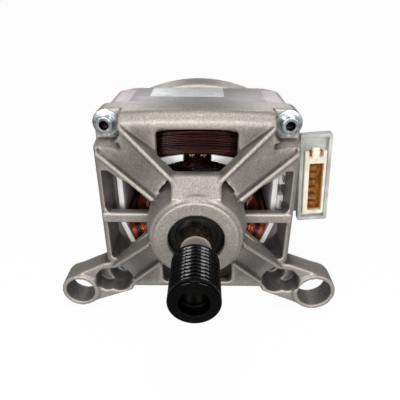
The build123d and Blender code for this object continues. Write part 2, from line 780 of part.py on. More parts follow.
def layer_line():
    """Line of the outer layer: each turn keeps its place on the bundle, and steps on behind the stator."""
    steps = coil_steps()
    behind = [step[0].Y > stator_rear_depth and abs(step[0].X) < coil_wire_radius for step in steps]
    crossing = behind.index(True)
    ways = [step[1] for step in steps]
    with BuildLine() as made:
        spots = [layer_spot(loop) for loop in range(coil_loops + 1)]
        lead = spots[0] + Vector(0, coil_lead, 0)
        Line(lead, spots[0])
        for loop in range(coil_loops):
            here, following = spots[loop], spots[loop + 1]
            for i, step in enumerate(steps):
                there, way = carried(here, ways[i], step)
                following, following_way = carried(following, ways[i], step)
                if i == crossing:
                    biarc(here, ways[i], following, following_way)
                    here = following
                elif i == len(steps) - 1 and loop == coil_loops - 1:
                    Line(here, here + (there - here).normalized() * coil_lead)
                else:
                    draw_step(here, ways[i], there)
                    here = there
                if i >= crossing:
                    following = here
    return made.line


def layer_spot(loop):
    """Place of one turn round the bundle, where the left slot opens in front."""
    angle = pi + layer_step * (loop - coil_loops / 2)
    across = coil_layer_radius * cos(angle)
    return Vector(-coil_slot_x - across, stator_front_depth, coil_slot_z + coil_layer_radius * sin(angle))


def least_gap(line, radius):
    """Least space between the turns of a tube on a line, measured on points along it."""
    places = []
    for edge in line.wires()[0].order_edges():
        count = max(2, int(edge.length / radius) + 1)
        places += [tuple(edge.position_at(i / count)) for i in range(count)]
    cloud = numpy.array(places)
    lengths = numpy.linalg.norm(cloud[1:] - cloud[:-1], axis=1)
    travelled = numpy.concatenate(([0], numpy.cumsum(lengths)))
    least = 1e9
    for i in range(len(cloud)):
        far = travelled > travelled[i] + 10 * radius
        if far.any():
            least = min(least, float(numpy.linalg.norm(cloud[far] - cloud[i], axis=1).min()))
    return least - 2 * radius


# Upper field coil: a plain bundle, and its outer layer wound as one wire
in_place = Location((0, hub_face, 0))
layer_step = 2 * pi / (coil_loops + 1.5)
with BuildPart() as upper_coil_core:
    with BuildLine() as core_line:
        add(bundle_line().moved(in_place))
    with BuildSketch(Plane(origin=core_line.line @ 0, z_dir=core_line.line % 0)):
        Circle(coil_core_radius)
    sweep()
upper_coil_core.part.label = "upper_coil_core"

with BuildPart() as upper_coil_wire:
    with BuildLine() as wire_line:
        add(layer_line().moved(in_place))
    with BuildSketch(Plane(origin=wire_line.line @ 0, z_dir=wire_line.line % 0)):
        Circle(coil_wire_radius)
    sweep()
upper_coil_wire.part.label = "upper_coil_wire"
print("field coil least gap", round(least_gap(wire_line.line, coil_wire_radius), 3), "mm")

# Lower field coil: the same coil under the rotor
with BuildPart() as lower_coil_core:
    add(upper_coil_core.part.mirror(Plane.XY))
lower_coil_core.part.label = "lower_coil_core"

with BuildPart() as lower_coil_wire:
    add(upper_coil_wire.part.mirror(Plane.XY))
lower_coil_wire.part.label = "lower_coil_wire"


def coil_insulator(face_depth, way, with_tabs):
    """Plastic end piece on one face of the stator core; way is -1 in front and 1 behind."""
    def station(offset):
        return face_depth + way * offset

    def slice_of(sketch_face, near, far):
        depths = sorted((station(near), station(far)))
        with BuildPart() as made:
            with BuildSketch(depth_plane(depths[0])):
                add(sketch_face)
            extrude(amount=depths[0] - depths[1])
        return made.part

    outer = liner_x + liner_thickness / 2
    with BuildSketch() as base:
        with BuildLine():
            Polyline((outer, liner_straight), (liner_tip_x + liner_thickness, liner_tip_z),
                     (cradle_half_width, base_top), (-cradle_half_width, base_top),
                     (-liner_tip_x - liner_thickness, liner_tip_z), (-outer, liner_straight),
                     (-outer, -liner_straight), (-liner_tip_x - liner_thickness, -liner_tip_z),
                     (-cradle_half_width, -base_top), (cradle_half_width, -base_top),
                     (liner_tip_x + liner_thickness, -liner_tip_z), (outer, -liner_straight), close=True)
        make_face()
        Circle(bore_radius + cradle_gap, mode=Mode.SUBTRACT)
        with Locations(((slot_inner + slot_outer) / 2, 0), (-(slot_inner + slot_outer) / 2, 0)):
            RectangleRounded(slot_outer - slot_inner, 2 * slot_half, stator_slot_radius, mode=Mode.SUBTRACT)
    with BuildSketch() as liners:
        for side in (1, -1):
            with BuildLine():
                Polyline((side * outer, liner_straight), (side * (liner_tip_x + liner_thickness), liner_tip_z),
                         (side * liner_tip_x, liner_tip_z - 0.5),
                         (side * (outer - liner_thickness), liner_straight),
                         (side * (outer - liner_thickness), -liner_straight),
                         (side * liner_tip_x, -liner_tip_z + 0.5),
                         (side * (liner_tip_x + liner_thickness), -liner_tip_z),
                         (side * outer, -liner_straight), close=True)
            make_face()
    with BuildPart() as made:
        add(slice_of(base.sketch, 0, base_thickness))
        add(slice_of(liners.sketch, 0, liner_length))
        for up in (1, -1):
            with BuildSketch(side_plane):
                with BuildLine():
                    Polyline((station(cradle_reach), up * cradle_bottom),
                             (station(cradle_back), up * cradle_bottom),
                             (station(cradle_back), up * (bore_radius + cradle_gap + 0.2)),
                             (station(0), up * (bore_radius + cradle_gap + 0.2)), (station(0), up * base_top),
                             (station(base_thickness), up * base_top),
                             (station(base_thickness), up * (bore_radius + 1.9)),
                             (station(cradle_back + 0.7), up * (bore_radius + 1.0)),
                             (station(cradle_back + 1.7), up * (cradle_bottom + cradle_thickness)),
                             (station(cradle_reach), up * (cradle_bottom + cradle_thickness)), close=True)
                make_face()
            extrude(amount=cradle_half_width, both=True)
            if with_tabs:
                tab_front, tab_rear = sorted((station(cradle_reach), station(cradle_reach - tab_thickness)))
                with BuildSketch(depth_plane(tab_front)):
                    for side in (1, -1):
                        with BuildLine():
                            Polyline(*((side * x, up * z) for x, z in tab_outline), close=True)
                        make_face()
                extrude(amount=tab_front - tab_rear)
                gap_z = sorted((up * (cradle_bottom - 1), up * (cradle_bottom + 2 * cradle_thickness)))
                gap_depth = sorted((station(cradle_reach + 1), station(cradle_back + 1.7)))
                add(block((-tab_inner_x, tab_inner_x), gap_z, gap_depth), mode=Mode.SUBTRACT)
    return made.part


with BuildPart() as front_insulator:
    add(coil_insulator(stator_front_depth, -1, True))
front_insulator.part.label = "front_insulator"

with BuildPart() as rear_insulator:
    add(coil_insulator(stator_rear_depth, 1, False))
rear_insulator.part.label = "rear_insulator"

# Lead terminals behind the right upper window, each on its block
terminal_x = frame_half - wall - terminal_block_width / 2 - 0.3
terminal_front = stator_front_depth - terminal_block_length
with BuildPart() as terminal_blocks:
    for z in (terminal_block_upper_z, terminal_block_lower_z):
        add(block((terminal_x - terminal_block_width / 2, terminal_x + terminal_block_width / 2),
                  (z - terminal_block_height / 2, z + terminal_block_height / 2),
                  (terminal_front, stator_front_depth)))
terminal_blocks.part.label = "terminal_blocks"

with BuildPart() as lead_terminals:
    for z in (terminal_block_upper_z, terminal_block_lower_z):
        add(block((terminal_x - terminal_thickness / 2, terminal_x + terminal_thickness / 2),
                  (z - terminal_width, z + terminal_width), (terminal_front - terminal_length, terminal_front)))
lead_terminals.part.label = "lead_terminals"

# Shaft
shaft_front = pulley_front - hub_face + shaft_recess
shaft_shoulder = -pulley_gap + shoulder_chamfer
front_bearing_end = front_bearing_depth + front_bearing_width
with BuildPart() as shaft:
    with BuildSketch(axial_plane):
        with BuildLine():
            Polyline((0, shaft_front), (pulley_bore_radius - end_chamfer, shaft_front),
                     (pulley_bore_radius, shaft_front + end_chamfer), (pulley_bore_radius, -pulley_gap),
                     (shaft_front_radius, shaft_shoulder), (shaft_front_radius, front_bearing_end),
                     (shaft_middle_radius, front_bearing_end), (shaft_middle_radius, commutator_depth - 1),
                     (shaft_commutator_radius, commutator_depth - 1),
                     (shaft_commutator_radius, rear_bearing_depth), (shaft_rear_radius, rear_bearing_depth),
                     (shaft_rear_radius, rear_bearing_end + 2), (shaft_tacho_radius, rear_bearing_end + 2),
                     (shaft_tacho_radius, tacho_shaft_end), (0, tacho_shaft_end), close=True)
        make_face()
    revolve(axis=shaft_axis)
shaft.part.label = "shaft"

# Pulley
flank = rib_depth * tan(radians(rib_angle / 2))
groove_radius = pulley_radius - rib_depth
pulley_points = [(pulley_bore_radius, pulley_front - hub_face + shaft_recess),
                 (pulley_mouth_radius, pulley_front - hub_face + shaft_recess - pulley_mouth_chamfer),
                 (pulley_mouth_radius, pulley_front - hub_face),
                 (pulley_radius - end_chamfer, pulley_front - hub_face),
                 (pulley_radius, pulley_front - hub_face + end_chamfer)]
for rib in range(rib_count):
    middle = -hub_face - ribbed_length / 2 + (rib + 0.5) * rib_pitch
    pulley_points += [(groove_radius, middle - rib_crest / 2 - flank), (pulley_radius, middle - rib_crest / 2),
                      (pulley_radius, middle + rib_crest / 2), (groove_radius, middle + rib_crest / 2 + flank)]
pulley_points[5:5] = [(pulley_radius, -hub_face - ribbed_length / 2)]
pulley_points += [(pulley_radius, -hub_face + ribbed_length / 2), (rear_land_radius, pulley_rear - hub_face),
                  (pulley_bore_radius, pulley_rear - hub_face)]
with BuildPart() as belt_pulley:
    with BuildSketch(axial_plane):
        add(shaft_profile(pulley_points))
    revolve(axis=shaft_axis)
belt_pulley.part.label = "belt_pulley"


def race(inner, outer, pitch, depths):
    """Bearing race between two radii, with its ball groove on the pitch radius."""
    middle = (depths[0] + depths[1]) / 2
    with BuildPart() as made:
        with BuildSketch(axial_plane):
            with Locations(((inner + outer) / 2, middle)):
                Rectangle(outer - inner, depths[1] - depths[0])
            with Locations((pitch, middle)):
                Circle(ball_radius + ball_play, mode=Mode.SUBTRACT)
        revolve(axis=shaft_axis)
    return made.part


def ball_cage(pitch, count, depths):
    """Cage ring with a pocket for each ball."""
    middle = (depths[0] + depths[1]) / 2
    with BuildPart() as made:
        add(ring(pitch - cage_half_height, pitch + cage_half_height, middle - cage_half_width,
                 middle + cage_half_width))
        for i in range(count):
            angle = 2 * pi * i / count
            outward = (cos(angle), 0, sin(angle))
            with BuildSketch(Plane(origin=(0, hub_face + middle, 0), x_dir=(0, 1, 0), z_dir=outward)):
                Circle(ball_radius + pocket_play)
            extrude(amount=pitch + race_shoulder, mode=Mode.SUBTRACT)
    return made.part


def ball_spots(pitch, count, middle):
    """Places of the balls round the shaft."""
    angles = [2 * pi * i / count for i in range(count)]
    return [Location((pitch * cos(angle), hub_face + middle, pitch * sin(angle))) for angle in angles]


def seal_pair(pitch, depths):
    """Two shields that close a bearing: they sit in the outer race and clear the inner one."""
    inner = pitch - race_shoulder + seal_gap
    outer = pitch + race_shoulder
    front = depths[0] + seal_inset
    rear = depths[1] - seal_inset
    return [ring(inner, outer, front, front + seal_thickness), ring(inner, outer, rear - seal_thickness, rear)]


front_pitch = (front_bearing_radius + shaft_front_radius) / 2
rear_pitch = (rear_bearing_radius + shaft_rear_radius) / 2
front_depths = (front_bearing_depth, front_bearing_end)
rear_depths = (rear_bearing_depth, rear_bearing_end)
front_middle = sum(front_depths) / 2
rear_middle = sum(rear_depths) / 2

with BuildPart() as front_outer_race:
    add(race(front_pitch + race_shoulder, front_bearing_radius, front_pitch, front_depths))
front_outer_race.part.label = "front_outer_race"

with BuildPart() as front_inner_race:
    add(race(shaft_front_radius, front_pitch - race_shoulder, front_pitch, front_depths))
front_inner_race.part.label = "front_inner_race"

with BuildPart() as front_balls:
    for spot in ball_spots(front_pitch, front_ball_count, front_middle):
        with Locations(spot):
            Sphere(ball_radius)
front_balls.part.label = "front_balls"

with BuildPart() as front_ball_cage:
    add(ball_cage(front_pitch, front_ball_count, front_depths))
front_ball_cage.part.label = "front_ball_cage"

with BuildPart() as front_bearing_shields:
    add(seal_pair(front_pitch, front_depths))
front_bearing_shields.part.label = "front_bearing_shields"

with BuildPart() as rear_outer_race:
    add(race(rear_pitch + race_shoulder, rear_bearing_radius, rear_pitch, rear_depths))
rear_outer_race.part.label = "rear_outer_race"

with BuildPart() as rear_inner_race:
    add(race(shaft_rear_radius, rear_pitch - race_shoulder, rear_pitch, rear_depths))
rear_inner_race.part.label = "rear_inner_race"

with BuildPart() as rear_balls:
    for spot in ball_spots(rear_pitch, rear_ball_count, rear_middle):
        with Locations(spot):
            Sphere(ball_radius)
rear_balls.part.label = "rear_balls"

with BuildPart() as rear_ball_cage:
    add(ball_cage(rear_pitch, rear_ball_count, rear_depths))
rear_ball_cage.part.label = "rear_ball_cage"

with BuildPart() as rear_bearing_shields:
    add(seal_pair(rear_pitch, rear_depths))
rear_bearing_shields.part.label = "rear_bearing_shields"

# Retaining ring behind the front bearing, open at its foot
retaining_outer = front_bearing_radius + retaining_groove_depth
with BuildPart() as retaining_ring:
    add(ring(retaining_outer - retaining_ring_height, retaining_outer, front_bearing_end,
             front_bearing_end + retaining_ring_thickness))
    add(block((-retaining_opening, retaining_opening), (-retaining_outer - 1, 0),
              (front_bearing_end, front_bearing_end + retaining_ring_thickness)), mode=Mode.SUBTRACT)
retaining_ring.part.label = "retaining_ring"

# Conical washer that loads the rear bearing against its seat
preload_front = rear_bearing_depth - preload_height
preload_outer = rear_bearing_radius - 0.4
preload_inner = rear_pitch + race_shoulder + 0.8
with BuildPart() as preload_washer:
    with BuildSketch(axial_plane):
        with BuildLine():
            Polyline((preload_outer, preload_front), (preload_outer, preload_front + preload_thickness),
                     (preload_inner, rear_bearing_depth), (preload_inner, rear_bearing_depth - preload_thickness),
                     close=True)
        make_face()
    revolve(axis=shaft_axis)
preload_washer.part.label = "preload_washer"


def slotted_disc(bore, outer, widen):
    """Outline of a rotor lamination, with its slots widened by widen on each side."""
    with BuildSketch() as made:
        Circle(outer)
        Circle(bore, mode=Mode.SUBTRACT)
        with PolarLocations((slot_bottom_radius + slot_top_radius) / 2, rotor_slots):
            Rectangle(slot_top_radius - slot_bottom_radius + 2 * widen, slot_width + 2 * widen, mode=Mode.SUBTRACT)
        with PolarLocations(slot_top_radius + 1, rotor_slots):
            Rectangle(4, slot_mouth, mode=Mode.SUBTRACT)
    return made.sketch


# Rotor core with its end insulators, winding and slot wedges
with BuildPart() as rotor_core:
    with BuildSketch(depth_plane(stator_front_depth)):
        add(slotted_disc(shaft_middle_radius, rotor_radius, 0))
    extrude(amount=-stack_length)
rotor_core.part.label = "rotor_core"

with BuildPart() as rotor_insulators:
    for front in (stator_front_depth - insulator_thickness, stator_rear_depth):
        with BuildSketch(depth_plane(front)):
            add(slotted_disc(shaft_middle_radius, slot_top_radius, 0))
        extrude(amount=-insulator_thickness)
rotor_insulators.part.label = "rotor_insulators"

bar_top = slot_top_radius - wedge_thickness - winding_clearance
bar_half = slot_width / 2 - winding_clearance
with BuildPart() as rotor_winding:
    with BuildSketch(depth_plane(stator_front_depth - insulator_thickness)):
        bar_bottom = slot_bottom_radius + winding_clearance
        with PolarLocations((bar_bottom + bar_top) / 2, rotor_slots):
            Rectangle(bar_top - bar_bottom, 2 * bar_half)
    extrude(amount=-(stack_length + 2 * insulator_thickness))
    for face, way in ((stator_front_depth, -1), (stator_rear_depth, 1)):
        near = face + way * insulator_thickness
        far = face + way * winding_head_length
        with BuildSketch(axial_plane):
            with BuildLine():
                Polyline((winding_bore_radius, near), (winding_head_radius, near),
                         (winding_head_radius, far - way * winding_nose_length))
                RadiusArc((winding_head_radius, far - way * winding_nose_length), (winding_nose_radius, far),
                          -way * winding_nose_length)
                Polyline((winding_nose_radius, far), (winding_bore_radius, far), (winding_bore_radius, near))
            make_face()
        revolve(axis=shaft_axis)
rotor_winding.part.label = "rotor_winding"

with BuildPart() as slot_wedges:
    with BuildSketch(depth_plane(stator_front_depth)):
        with PolarLocations(slot_top_radius - wedge_thickness / 2, rotor_slots):
            Rectangle(wedge_thickness, slot_width - 2 * seat_clearance)
    extrude(amount=-stack_length)
slot_wedges.part.label = "slot_wedges"

# Commutator
segment_inner = commutator_radius - bar_height
with BuildPart() as commutator_hub:
    add(ring(shaft_commutator_radius, segment_inner, commutator_depth, commutator_end))
commutator_hub.part.label = "commutator_hub"

with BuildPart() as commutator_segments:
    with BuildSketch(depth_plane(commutator_depth)):
        Circle(commutator_radius)
        Circle(segment_inner, mode=Mode.SUBTRACT)
        with PolarLocations((segment_inner + commutator_radius) / 2, commutator_bars):
            Rectangle(bar_height + 1, bar_gap, mode=Mode.SUBTRACT)
    extrude(amount=-commutator_length)
    with BuildSketch(depth_plane(commutator_depth)):
        Circle(commutator_radius + riser_height)
        Circle(commutator_radius - 1, mode=Mode.SUBTRACT)
        with PolarLocations(commutator_radius, commutator_bars):
            Rectangle(bar_height, bar_gap, mode=Mode.SUBTRACT)
    extrude(amount=-riser_length)
commutator_segments.part.label = "commutator_segments"


def brush_box(side, x, half_depth, half_height):
    """Box round one brush's line of travel, from its range outwards along X."""
    return block(sorted((side * x[0], side * x[1])), (-half_height, half_height),
                 (brush_depth_station - half_depth, brush_depth_station + half_depth))


# Brush gear: each brush slides in a tube, in a holder on the rear bracket, and a spring presses it in
brush_end = commutator_radius + brush_contact_gap + brush_length
brush_tube_start = commutator_radius + tube_tip_gap
brush_tube_end = holder_end - 1
brush_gap_half = brush_width / 2 + brush_play
brush_gap_half_depth = brush_depth / 2 + brush_play
with BuildPart() as brush_holders:
    for side in (1, -1):
        holder_x = (commutator_radius + holder_tip_gap, holder_end)
        hole = brush_box(side, (holder_x[0] - 1, holder_end + 1), brush_tube_half_depth + seat_clearance,
                         brush_tube_half + seat_clearance)
        add(brush_box(side, holder_x, holder_half_depth, holder_half) - hole)
brush_holders.part.label = "brush_holders"

with BuildPart() as brush_tubes:
    for side in (1, -1):
        hole = brush_box(side, (brush_tube_start - 1, brush_tube_end + 1), brush_gap_half_depth, brush_gap_half)
        add(brush_box(side, (brush_tube_start, brush_tube_end), brush_tube_half_depth, brush_tube_half) - hole)
brush_tubes.part.label = "brush_tubes"

with BuildPart() as brush_caps:
    for side in (1, -1):
        add(brush_box(side, (brush_tube_end, holder_end), brush_tube_half_depth - seat_clearance,
                      brush_tube_half - seat_clearance))
        add(brush_box(side, (holder_end, holder_end + brush_cap_length), holder_half_depth, holder_half))
        add(brush_box(side, (holder_end + brush_cap_length, holder_end + brush_cap_length + brush_terminal_length),
                      brush_terminal_width / 2, brush_terminal_thickness / 2))
brush_caps.part.label = "brush_caps"


def carbon_brush(side):
    """Carbon brush with its hollow contact face."""
    bar = brush_box(side, (commutator_radius - brush_width / 2, brush_end), brush_depth / 2, brush_width / 2)
    return bar - ring(0, commutator_radius + brush_contact_gap, commutator_depth, commutator_end)


with BuildPart() as left_brush:
    add(carbon_brush(-1))
left_brush.part.label = "left_brush"

with BuildPart() as right_brush:
    add(carbon_brush(1))
right_brush.part.label = "right_brush"


def spring_line(side):
    """Line of one brush spring: half turns that step outwards, with a straight end at each side."""
    start = brush_end + spring_end_gap + spring_wire_radius
    finish = brush_tube_end - spring_end_gap - spring_wire_radius
    half_turns = 2 * spring_turns
    step = (finish - start) / half_turns
    rise = step / (pi * spring_radius)
    along = 1 / sqrt(1 + rise * rise)
    with BuildLine() as made:
        places = []
        for turn in range(half_turns + 1):
            up = 1 if turn % 2 == 0 else -1
            place = Vector(side * (start + turn * step), hub_face + brush_depth_station, up * spring_radius)
            places.append((place, Vector(side * rise * along, up * along, 0)))
        first, first_way = places[0]
        last, last_way = places[-1]
        lead = 2 * spring_wire_radius
        Line(first - first_way * lead, first)
        for (here, way_here), (there, way_there) in zip(places[:-1], places[1:]):
            biarc(here, way_here, there, way_there)
        Line(last, last + last_way * lead)
    return made.line


with BuildPart() as left_brush_spring:
    with BuildLine() as left_spring_line:
        add(spring_line(-1))
    with BuildSketch(Plane(origin=left_spring_line.line @ 0, z_dir=left_spring_line.line % 0)):
        Circle(spring_wire_radius)
    sweep()
left_brush_spring.part.label = "left_brush_spring"

with BuildPart() as right_brush_spring:
    with BuildLine() as right_spring_line:
        add(spring_line(1))
    with BuildSketch(Plane(origin=right_spring_line.line @ 0, z_dir=right_spring_line.line % 0)):
        Circle(spring_wire_radius)
    sweep()
right_brush_spring.part.label = "right_brush_spring"
spring_gap = least_gap(right_spring_line.line, spring_wire_radius)
print("brush spring least gap", round(spring_gap, 3), "mm")

# Tacho generator on the rear end of the shaft
tacho_cap_end = rear_face_depth + tacho_cap_length
with BuildPart() as tacho_magnet:
    add(ring(shaft_tacho_radius, magnet_radius, magnet_front, magnet_front + magnet_length))
tacho_magnet.part.label = "tacho_magnet"

with BuildPart() as tacho_coil:
    add(ring(tacho_coil_inner, tacho_coil_outer, rear_face_depth + tacho_gap,
             tacho_cap_end - tacho_cap_wall - tacho_gap))
tacho_coil.part.label = "tacho_coil"

with BuildPart() as tacho_cap:
    with BuildSketch(depth_plane(rear_face_depth)):
        Circle(tacho_cap_radius)
        with Locations((0, tacho_screw_circle), (0, -tacho_screw_circle)):
            Circle(tacho_flange_radius - tacho_screw_circle + 1)
        make_hull()
    extrude(amount=-tacho_flange_thickness)
    with BuildSketch(depth_plane(rear_face_depth)):
        Circle(tacho_cap_radius)
    extrude(amount=-tacho_cap_length)
    fillet(tacho_cap.faces().sort_by(Axis.Y)[-1].edges(), tacho_cap_wall)
    add(ring(0, tacho_cap_radius - tacho_cap_wall, rear_face_depth, tacho_cap_end - tacho_cap_wall),
        mode=Mode.SUBTRACT)
    with BuildSketch(depth_plane(rear_face_depth)):
        with Locations((0, tacho_screw_circle), (0, -tacho_screw_circle)):
            Circle(tacho_screw_radius + bolt_clearance / 2)
    extrude(amount=-tacho_flange_thickness, mode=Mode.SUBTRACT)
tacho_cap.part.label = "tacho_cap"

tacho_head_front = rear_face_depth + tacho_flange_thickness
with BuildPart() as tacho_screws:
    for up in (1, -1):
        with BuildSketch(depth_plane(tacho_head_front)):
            with Locations((0, up * tacho_screw_circle)):
                Circle(tacho_screw_head_radius)
        extrude(amount=-tacho_screw_head_height)
        with BuildSketch(depth_plane(tacho_head_front)):
            with Locations((0, up * tacho_screw_circle)):
                Circle(tacho_screw_radius)
        extrude(amount=tacho_screw_length)
        with BuildSketch(depth_plane(tacho_head_front + tacho_screw_head_height)):
            with Locations((0, up * tacho_screw_circle)):
                Rectangle(2 * tacho_screw_head_radius, tacho_screw_slot)
                Rectangle(tacho_screw_slot, 2 * tacho_screw_head_radius)
        extrude(amount=tacho_screw_slot, mode=Mode.SUBTRACT)
tacho_screws.part.label = "tacho_screws"


def connector_plane(depth):
    """Depth plane at the connector's upper left corner, leaning as the connector does."""
    lean = radians(connector_tilt)
    return Plane(origin=(connector_x, hub_face + depth, connector_z), x_dir=(cos(lean), 0, sin(lean)),
                 z_dir=(0, -1, 0))


def connector_block(x, z, depth):
    """Box in the connector's leaning frame, from its upper left corner."""
    with BuildPart() as made:
        with BuildSketch(connector_plane(depth[0])):
            with Locations(((x[0] + x[1]) / 2, (z[0] + z[1]) / 2)):
                Rectangle(x[1] - x[0], z[1] - z[0])
        extrude(amount=depth[0] - depth[1])
    return made.part


# Connector housing, its contacts, and the tray that holds it on the stator's side
housing_front = stator_front_depth
housing_rear = housing_front + housing_length
tray_front = housing_front - connector_set_back
tray_rear = tray_front + tray_depth
with BuildPart() as connector_housing:
    add(connector_block((0, housing_width), (-housing_height, 0), (housing_front, housing_rear)))
    fillet(connector_housing.edges().filter_by(Axis.Y), housing_edge)
    cavity_x = (cavity_left_wall, housing_width - housing_wall)
    cavity_z = (cavity_foot - housing_height, -cavity_top)
    add(connector_block(cavity_x, cavity_z, (housing_front, housing_front + cavity_depth)), mode=Mode.SUBTRACT)
    # Two keying notches through the top, with the latch tongue between them
    for notch_x in (key_inset, housing_width - key_inset - key_width):
        add(connector_block((notch_x, notch_x + key_width), (-key_depth, 1),
                            (housing_front, housing_front + key_length)), mode=Mode.SUBTRACT)
    latch_x = ((housing_width - latch_width) / 2, (housing_width + latch_width) / 2)
    add(connector_block(latch_x, (0, latch_height), (housing_front + 1, housing_front + key_length)))
connector_housing.part.label = "connector_housing"

contact_x = cavity_left_wall + contact_width / 2 + contact_inset
with BuildPart() as connector_contacts:
    for contact in range(contact_count):
        contact_z = -contact_first - contact * contact_pitch
        add(connector_block((contact_x - contact_width / 2, contact_x + contact_width / 2),
                            (contact_z - contact_thickness / 2, contact_z + contact_thickness / 2),
                            (housing_front + cavity_depth - contact_length, housing_front + cavity_depth)))
connector_contacts.part.label = "connector_contacts"

with BuildPart() as connector_tray:
    tray_x = (-tray_side, tray_width - tray_side)
    tray_z = (-tray_drop, tray_height - tray_drop)
    add(connector_block(tray_x, tray_z, (tray_front, tray_rear)))
    fillet(connector_tray.edges().filter_by(Axis.Y), tray_corner)
    add(connector_block((tray_x[0] + tray_wall, tray_x[1] - tray_wall),
                        (tray_z[0] + tray_wall, tray_z[1] - tray_wall), (tray_front, tray_rear - tray_back)),
        mode=Mode.SUBTRACT)
    # Sleeve behind the tray that holds the housing
    sleeve_x = (-sleeve_wall, housing_width + sleeve_wall)
    sleeve_z = (-housing_height - sleeve_wall, latch_height + sleeve_wall)
    add(connector_block(sleeve_x, sleeve_z, (tray_rear - tray_back, housing_rear)))
    add(connector_block((0, housing_width), (-housing_height, 0), (tray_front, housing_rear)),
        mode=Mode.SUBTRACT)
    add(connector_block(latch_x, (-housing_edge, latch_height), (tray_front, housing_front + key_length)),
        mode=Mode.SUBTRACT)
    # Foot on the stator's side
    with BuildSketch(depth_plane(tray_front + tray_foot_set_back)):
        with BuildLine():
            lean = tan(radians(connector_tilt))
            foot_top = connector_x - sleeve_wall + (connector_z - tray_foot_half) * lean
            foot_low = connector_x - sleeve_wall + (connector_z + tray_foot_half) * lean
            Polyline((frame_half, tray_foot_half), (foot_top, tray_foot_half), (foot_low, -tray_foot_half),
                     (frame_half, -tray_foot_half), close=True)
        make_face()
    extrude(amount=-tray_foot_width)
connector_tray.part.label = "connector_tray"

export_step(front_bracket.part, "parts/front_bracket.step")
export_step(rear_bracket.part, "parts/rear_bracket.step")
export_step(stator_core.part, "parts/stator_core.step")
export_step(label.part, "parts/label.step")
export_step(through_bolts.part, "parts/through_bolts.step")
export_step(bolt_washers.part, "parts/bolt_washers.step")
export_step(upper_coil_core.part, "parts/upper_coil_core.step")
export_step(upper_coil_wire.part, "parts/upper_coil_wire.step")
export_step(lower_coil_core.part, "parts/lower_coil_core.step")
export_step(lower_coil_wire.part, "parts/lower_coil_wire.step")
export_step(front_insulator.part, "parts/front_insulator.step")
export_step(rear_insulator.part, "parts/rear_insulator.step")
export_step(terminal_blocks.part, "parts/terminal_blocks.step")
export_step(lead_terminals.part, "parts/lead_terminals.step")
export_step(shaft.part, "parts/shaft.step")
export_step(belt_pulley.part, "parts/belt_pulley.step")
export_step(front_outer_race.part, "parts/front_outer_race.step")
export_step(front_inner_race.part, "parts/front_inner_race.step")
export_step(front_balls.part, "parts/front_balls.step")
export_step(front_ball_cage.part, "parts/front_ball_cage.step")
export_step(front_bearing_shields.part, "parts/front_bearing_shields.step")
export_step(rear_outer_race.part, "parts/rear_outer_race.step")
export_step(rear_inner_race.part, "parts/rear_inner_race.step")
export_step(rear_balls.part, "parts/rear_balls.step")
export_step(rear_ball_cage.part, "parts/rear_ball_cage.step")
export_step(rear_bearing_shields.part, "parts/rear_bearing_shields.step")
export_step(retaining_ring.part, "parts/retaining_ring.step")
export_step(preload_washer.part, "parts/preload_washer.step")
export_step(rotor_core.part, "parts/rotor_core.step")
export_step(rotor_insulators.part, "parts/rotor_insulators.step")
export_step(rotor_winding.part, "parts/rotor_winding.step")
export_step(slot_wedges.part, "parts/slot_wedges.step")
export_step(commutator_hub.part, "parts/commutator_hub.step")
export_step(commutator_segments.part, "parts/commutator_segments.step")
export_step(brush_holders.part, "parts/brush_holders.step")
export_step(brush_tubes.part, "parts/brush_tubes.step")
export_step(brush_caps.part, "parts/brush_caps.step")
export_step(left_brush.part, "parts/left_brush.step")
export_step(right_brush.part, "parts/right_brush.step")
export_step(left_brush_spring.part, "parts/left_brush_spring.step")
export_step(right_brush_spring.part, "parts/right_brush_spring.step")
export_step(tacho_magnet.part, "parts/tacho_magnet.step")
export_step(tacho_coil.part, "parts/tacho_coil.step")
export_step(tacho_cap.part, "parts/tacho_cap.step")
export_step(tacho_screws.part, "parts/tacho_screws.step")
export_step(connector_housing.part, "parts/connector_housing.step")
export_step(connector_contacts.part, "parts/connector_contacts.step")
export_step(connector_tray.part, "parts/connector_tray.step")
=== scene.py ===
"""A washing machine motor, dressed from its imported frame.

The frame gives every piece its place, in metres: the shaft runs along Y with the belt pulley towards
-Y, +X is right as the pulley is looked at, and +Z is up. Sizes below are in millimetres.
"""

from __future__ import annotations

import json
import logging
import math
from dataclasses import dataclass
from enum import Enum

import bmesh
import bpy
import numpy as np
from bpy.types import Material, Mesh, Node, NodeSocket, NodeTree, Object
from mathutils import Matrix, Vector


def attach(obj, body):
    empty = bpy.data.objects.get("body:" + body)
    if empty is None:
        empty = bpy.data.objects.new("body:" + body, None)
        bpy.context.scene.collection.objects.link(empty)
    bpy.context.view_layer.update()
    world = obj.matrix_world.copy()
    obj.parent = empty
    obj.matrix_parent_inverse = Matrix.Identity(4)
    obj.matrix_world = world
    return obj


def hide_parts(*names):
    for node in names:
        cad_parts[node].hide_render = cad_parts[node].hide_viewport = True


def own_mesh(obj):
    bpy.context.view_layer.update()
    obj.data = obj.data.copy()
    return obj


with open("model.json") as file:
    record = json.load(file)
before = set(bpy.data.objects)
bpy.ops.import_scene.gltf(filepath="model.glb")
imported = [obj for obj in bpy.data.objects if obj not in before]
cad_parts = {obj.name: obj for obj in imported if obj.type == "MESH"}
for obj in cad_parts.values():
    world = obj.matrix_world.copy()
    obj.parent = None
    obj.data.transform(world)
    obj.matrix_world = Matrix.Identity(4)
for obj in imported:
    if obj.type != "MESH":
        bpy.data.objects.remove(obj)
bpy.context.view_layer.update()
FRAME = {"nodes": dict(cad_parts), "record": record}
LOG = logging.getLogger("motor")
MM = 0.001
HUB_FACE = 30.4
STATOR_FRONT = HUB_FACE + 54.0
STATOR_REAR = HUB_FACE + 94.0

Colour = tuple[float, float, float, float]
Span = tuple[float, float]
Tint = tuple[str, str, float, float, float]
Point = tuple[float, float, float]
Tube = tuple[np.ndarray, np.ndarray]


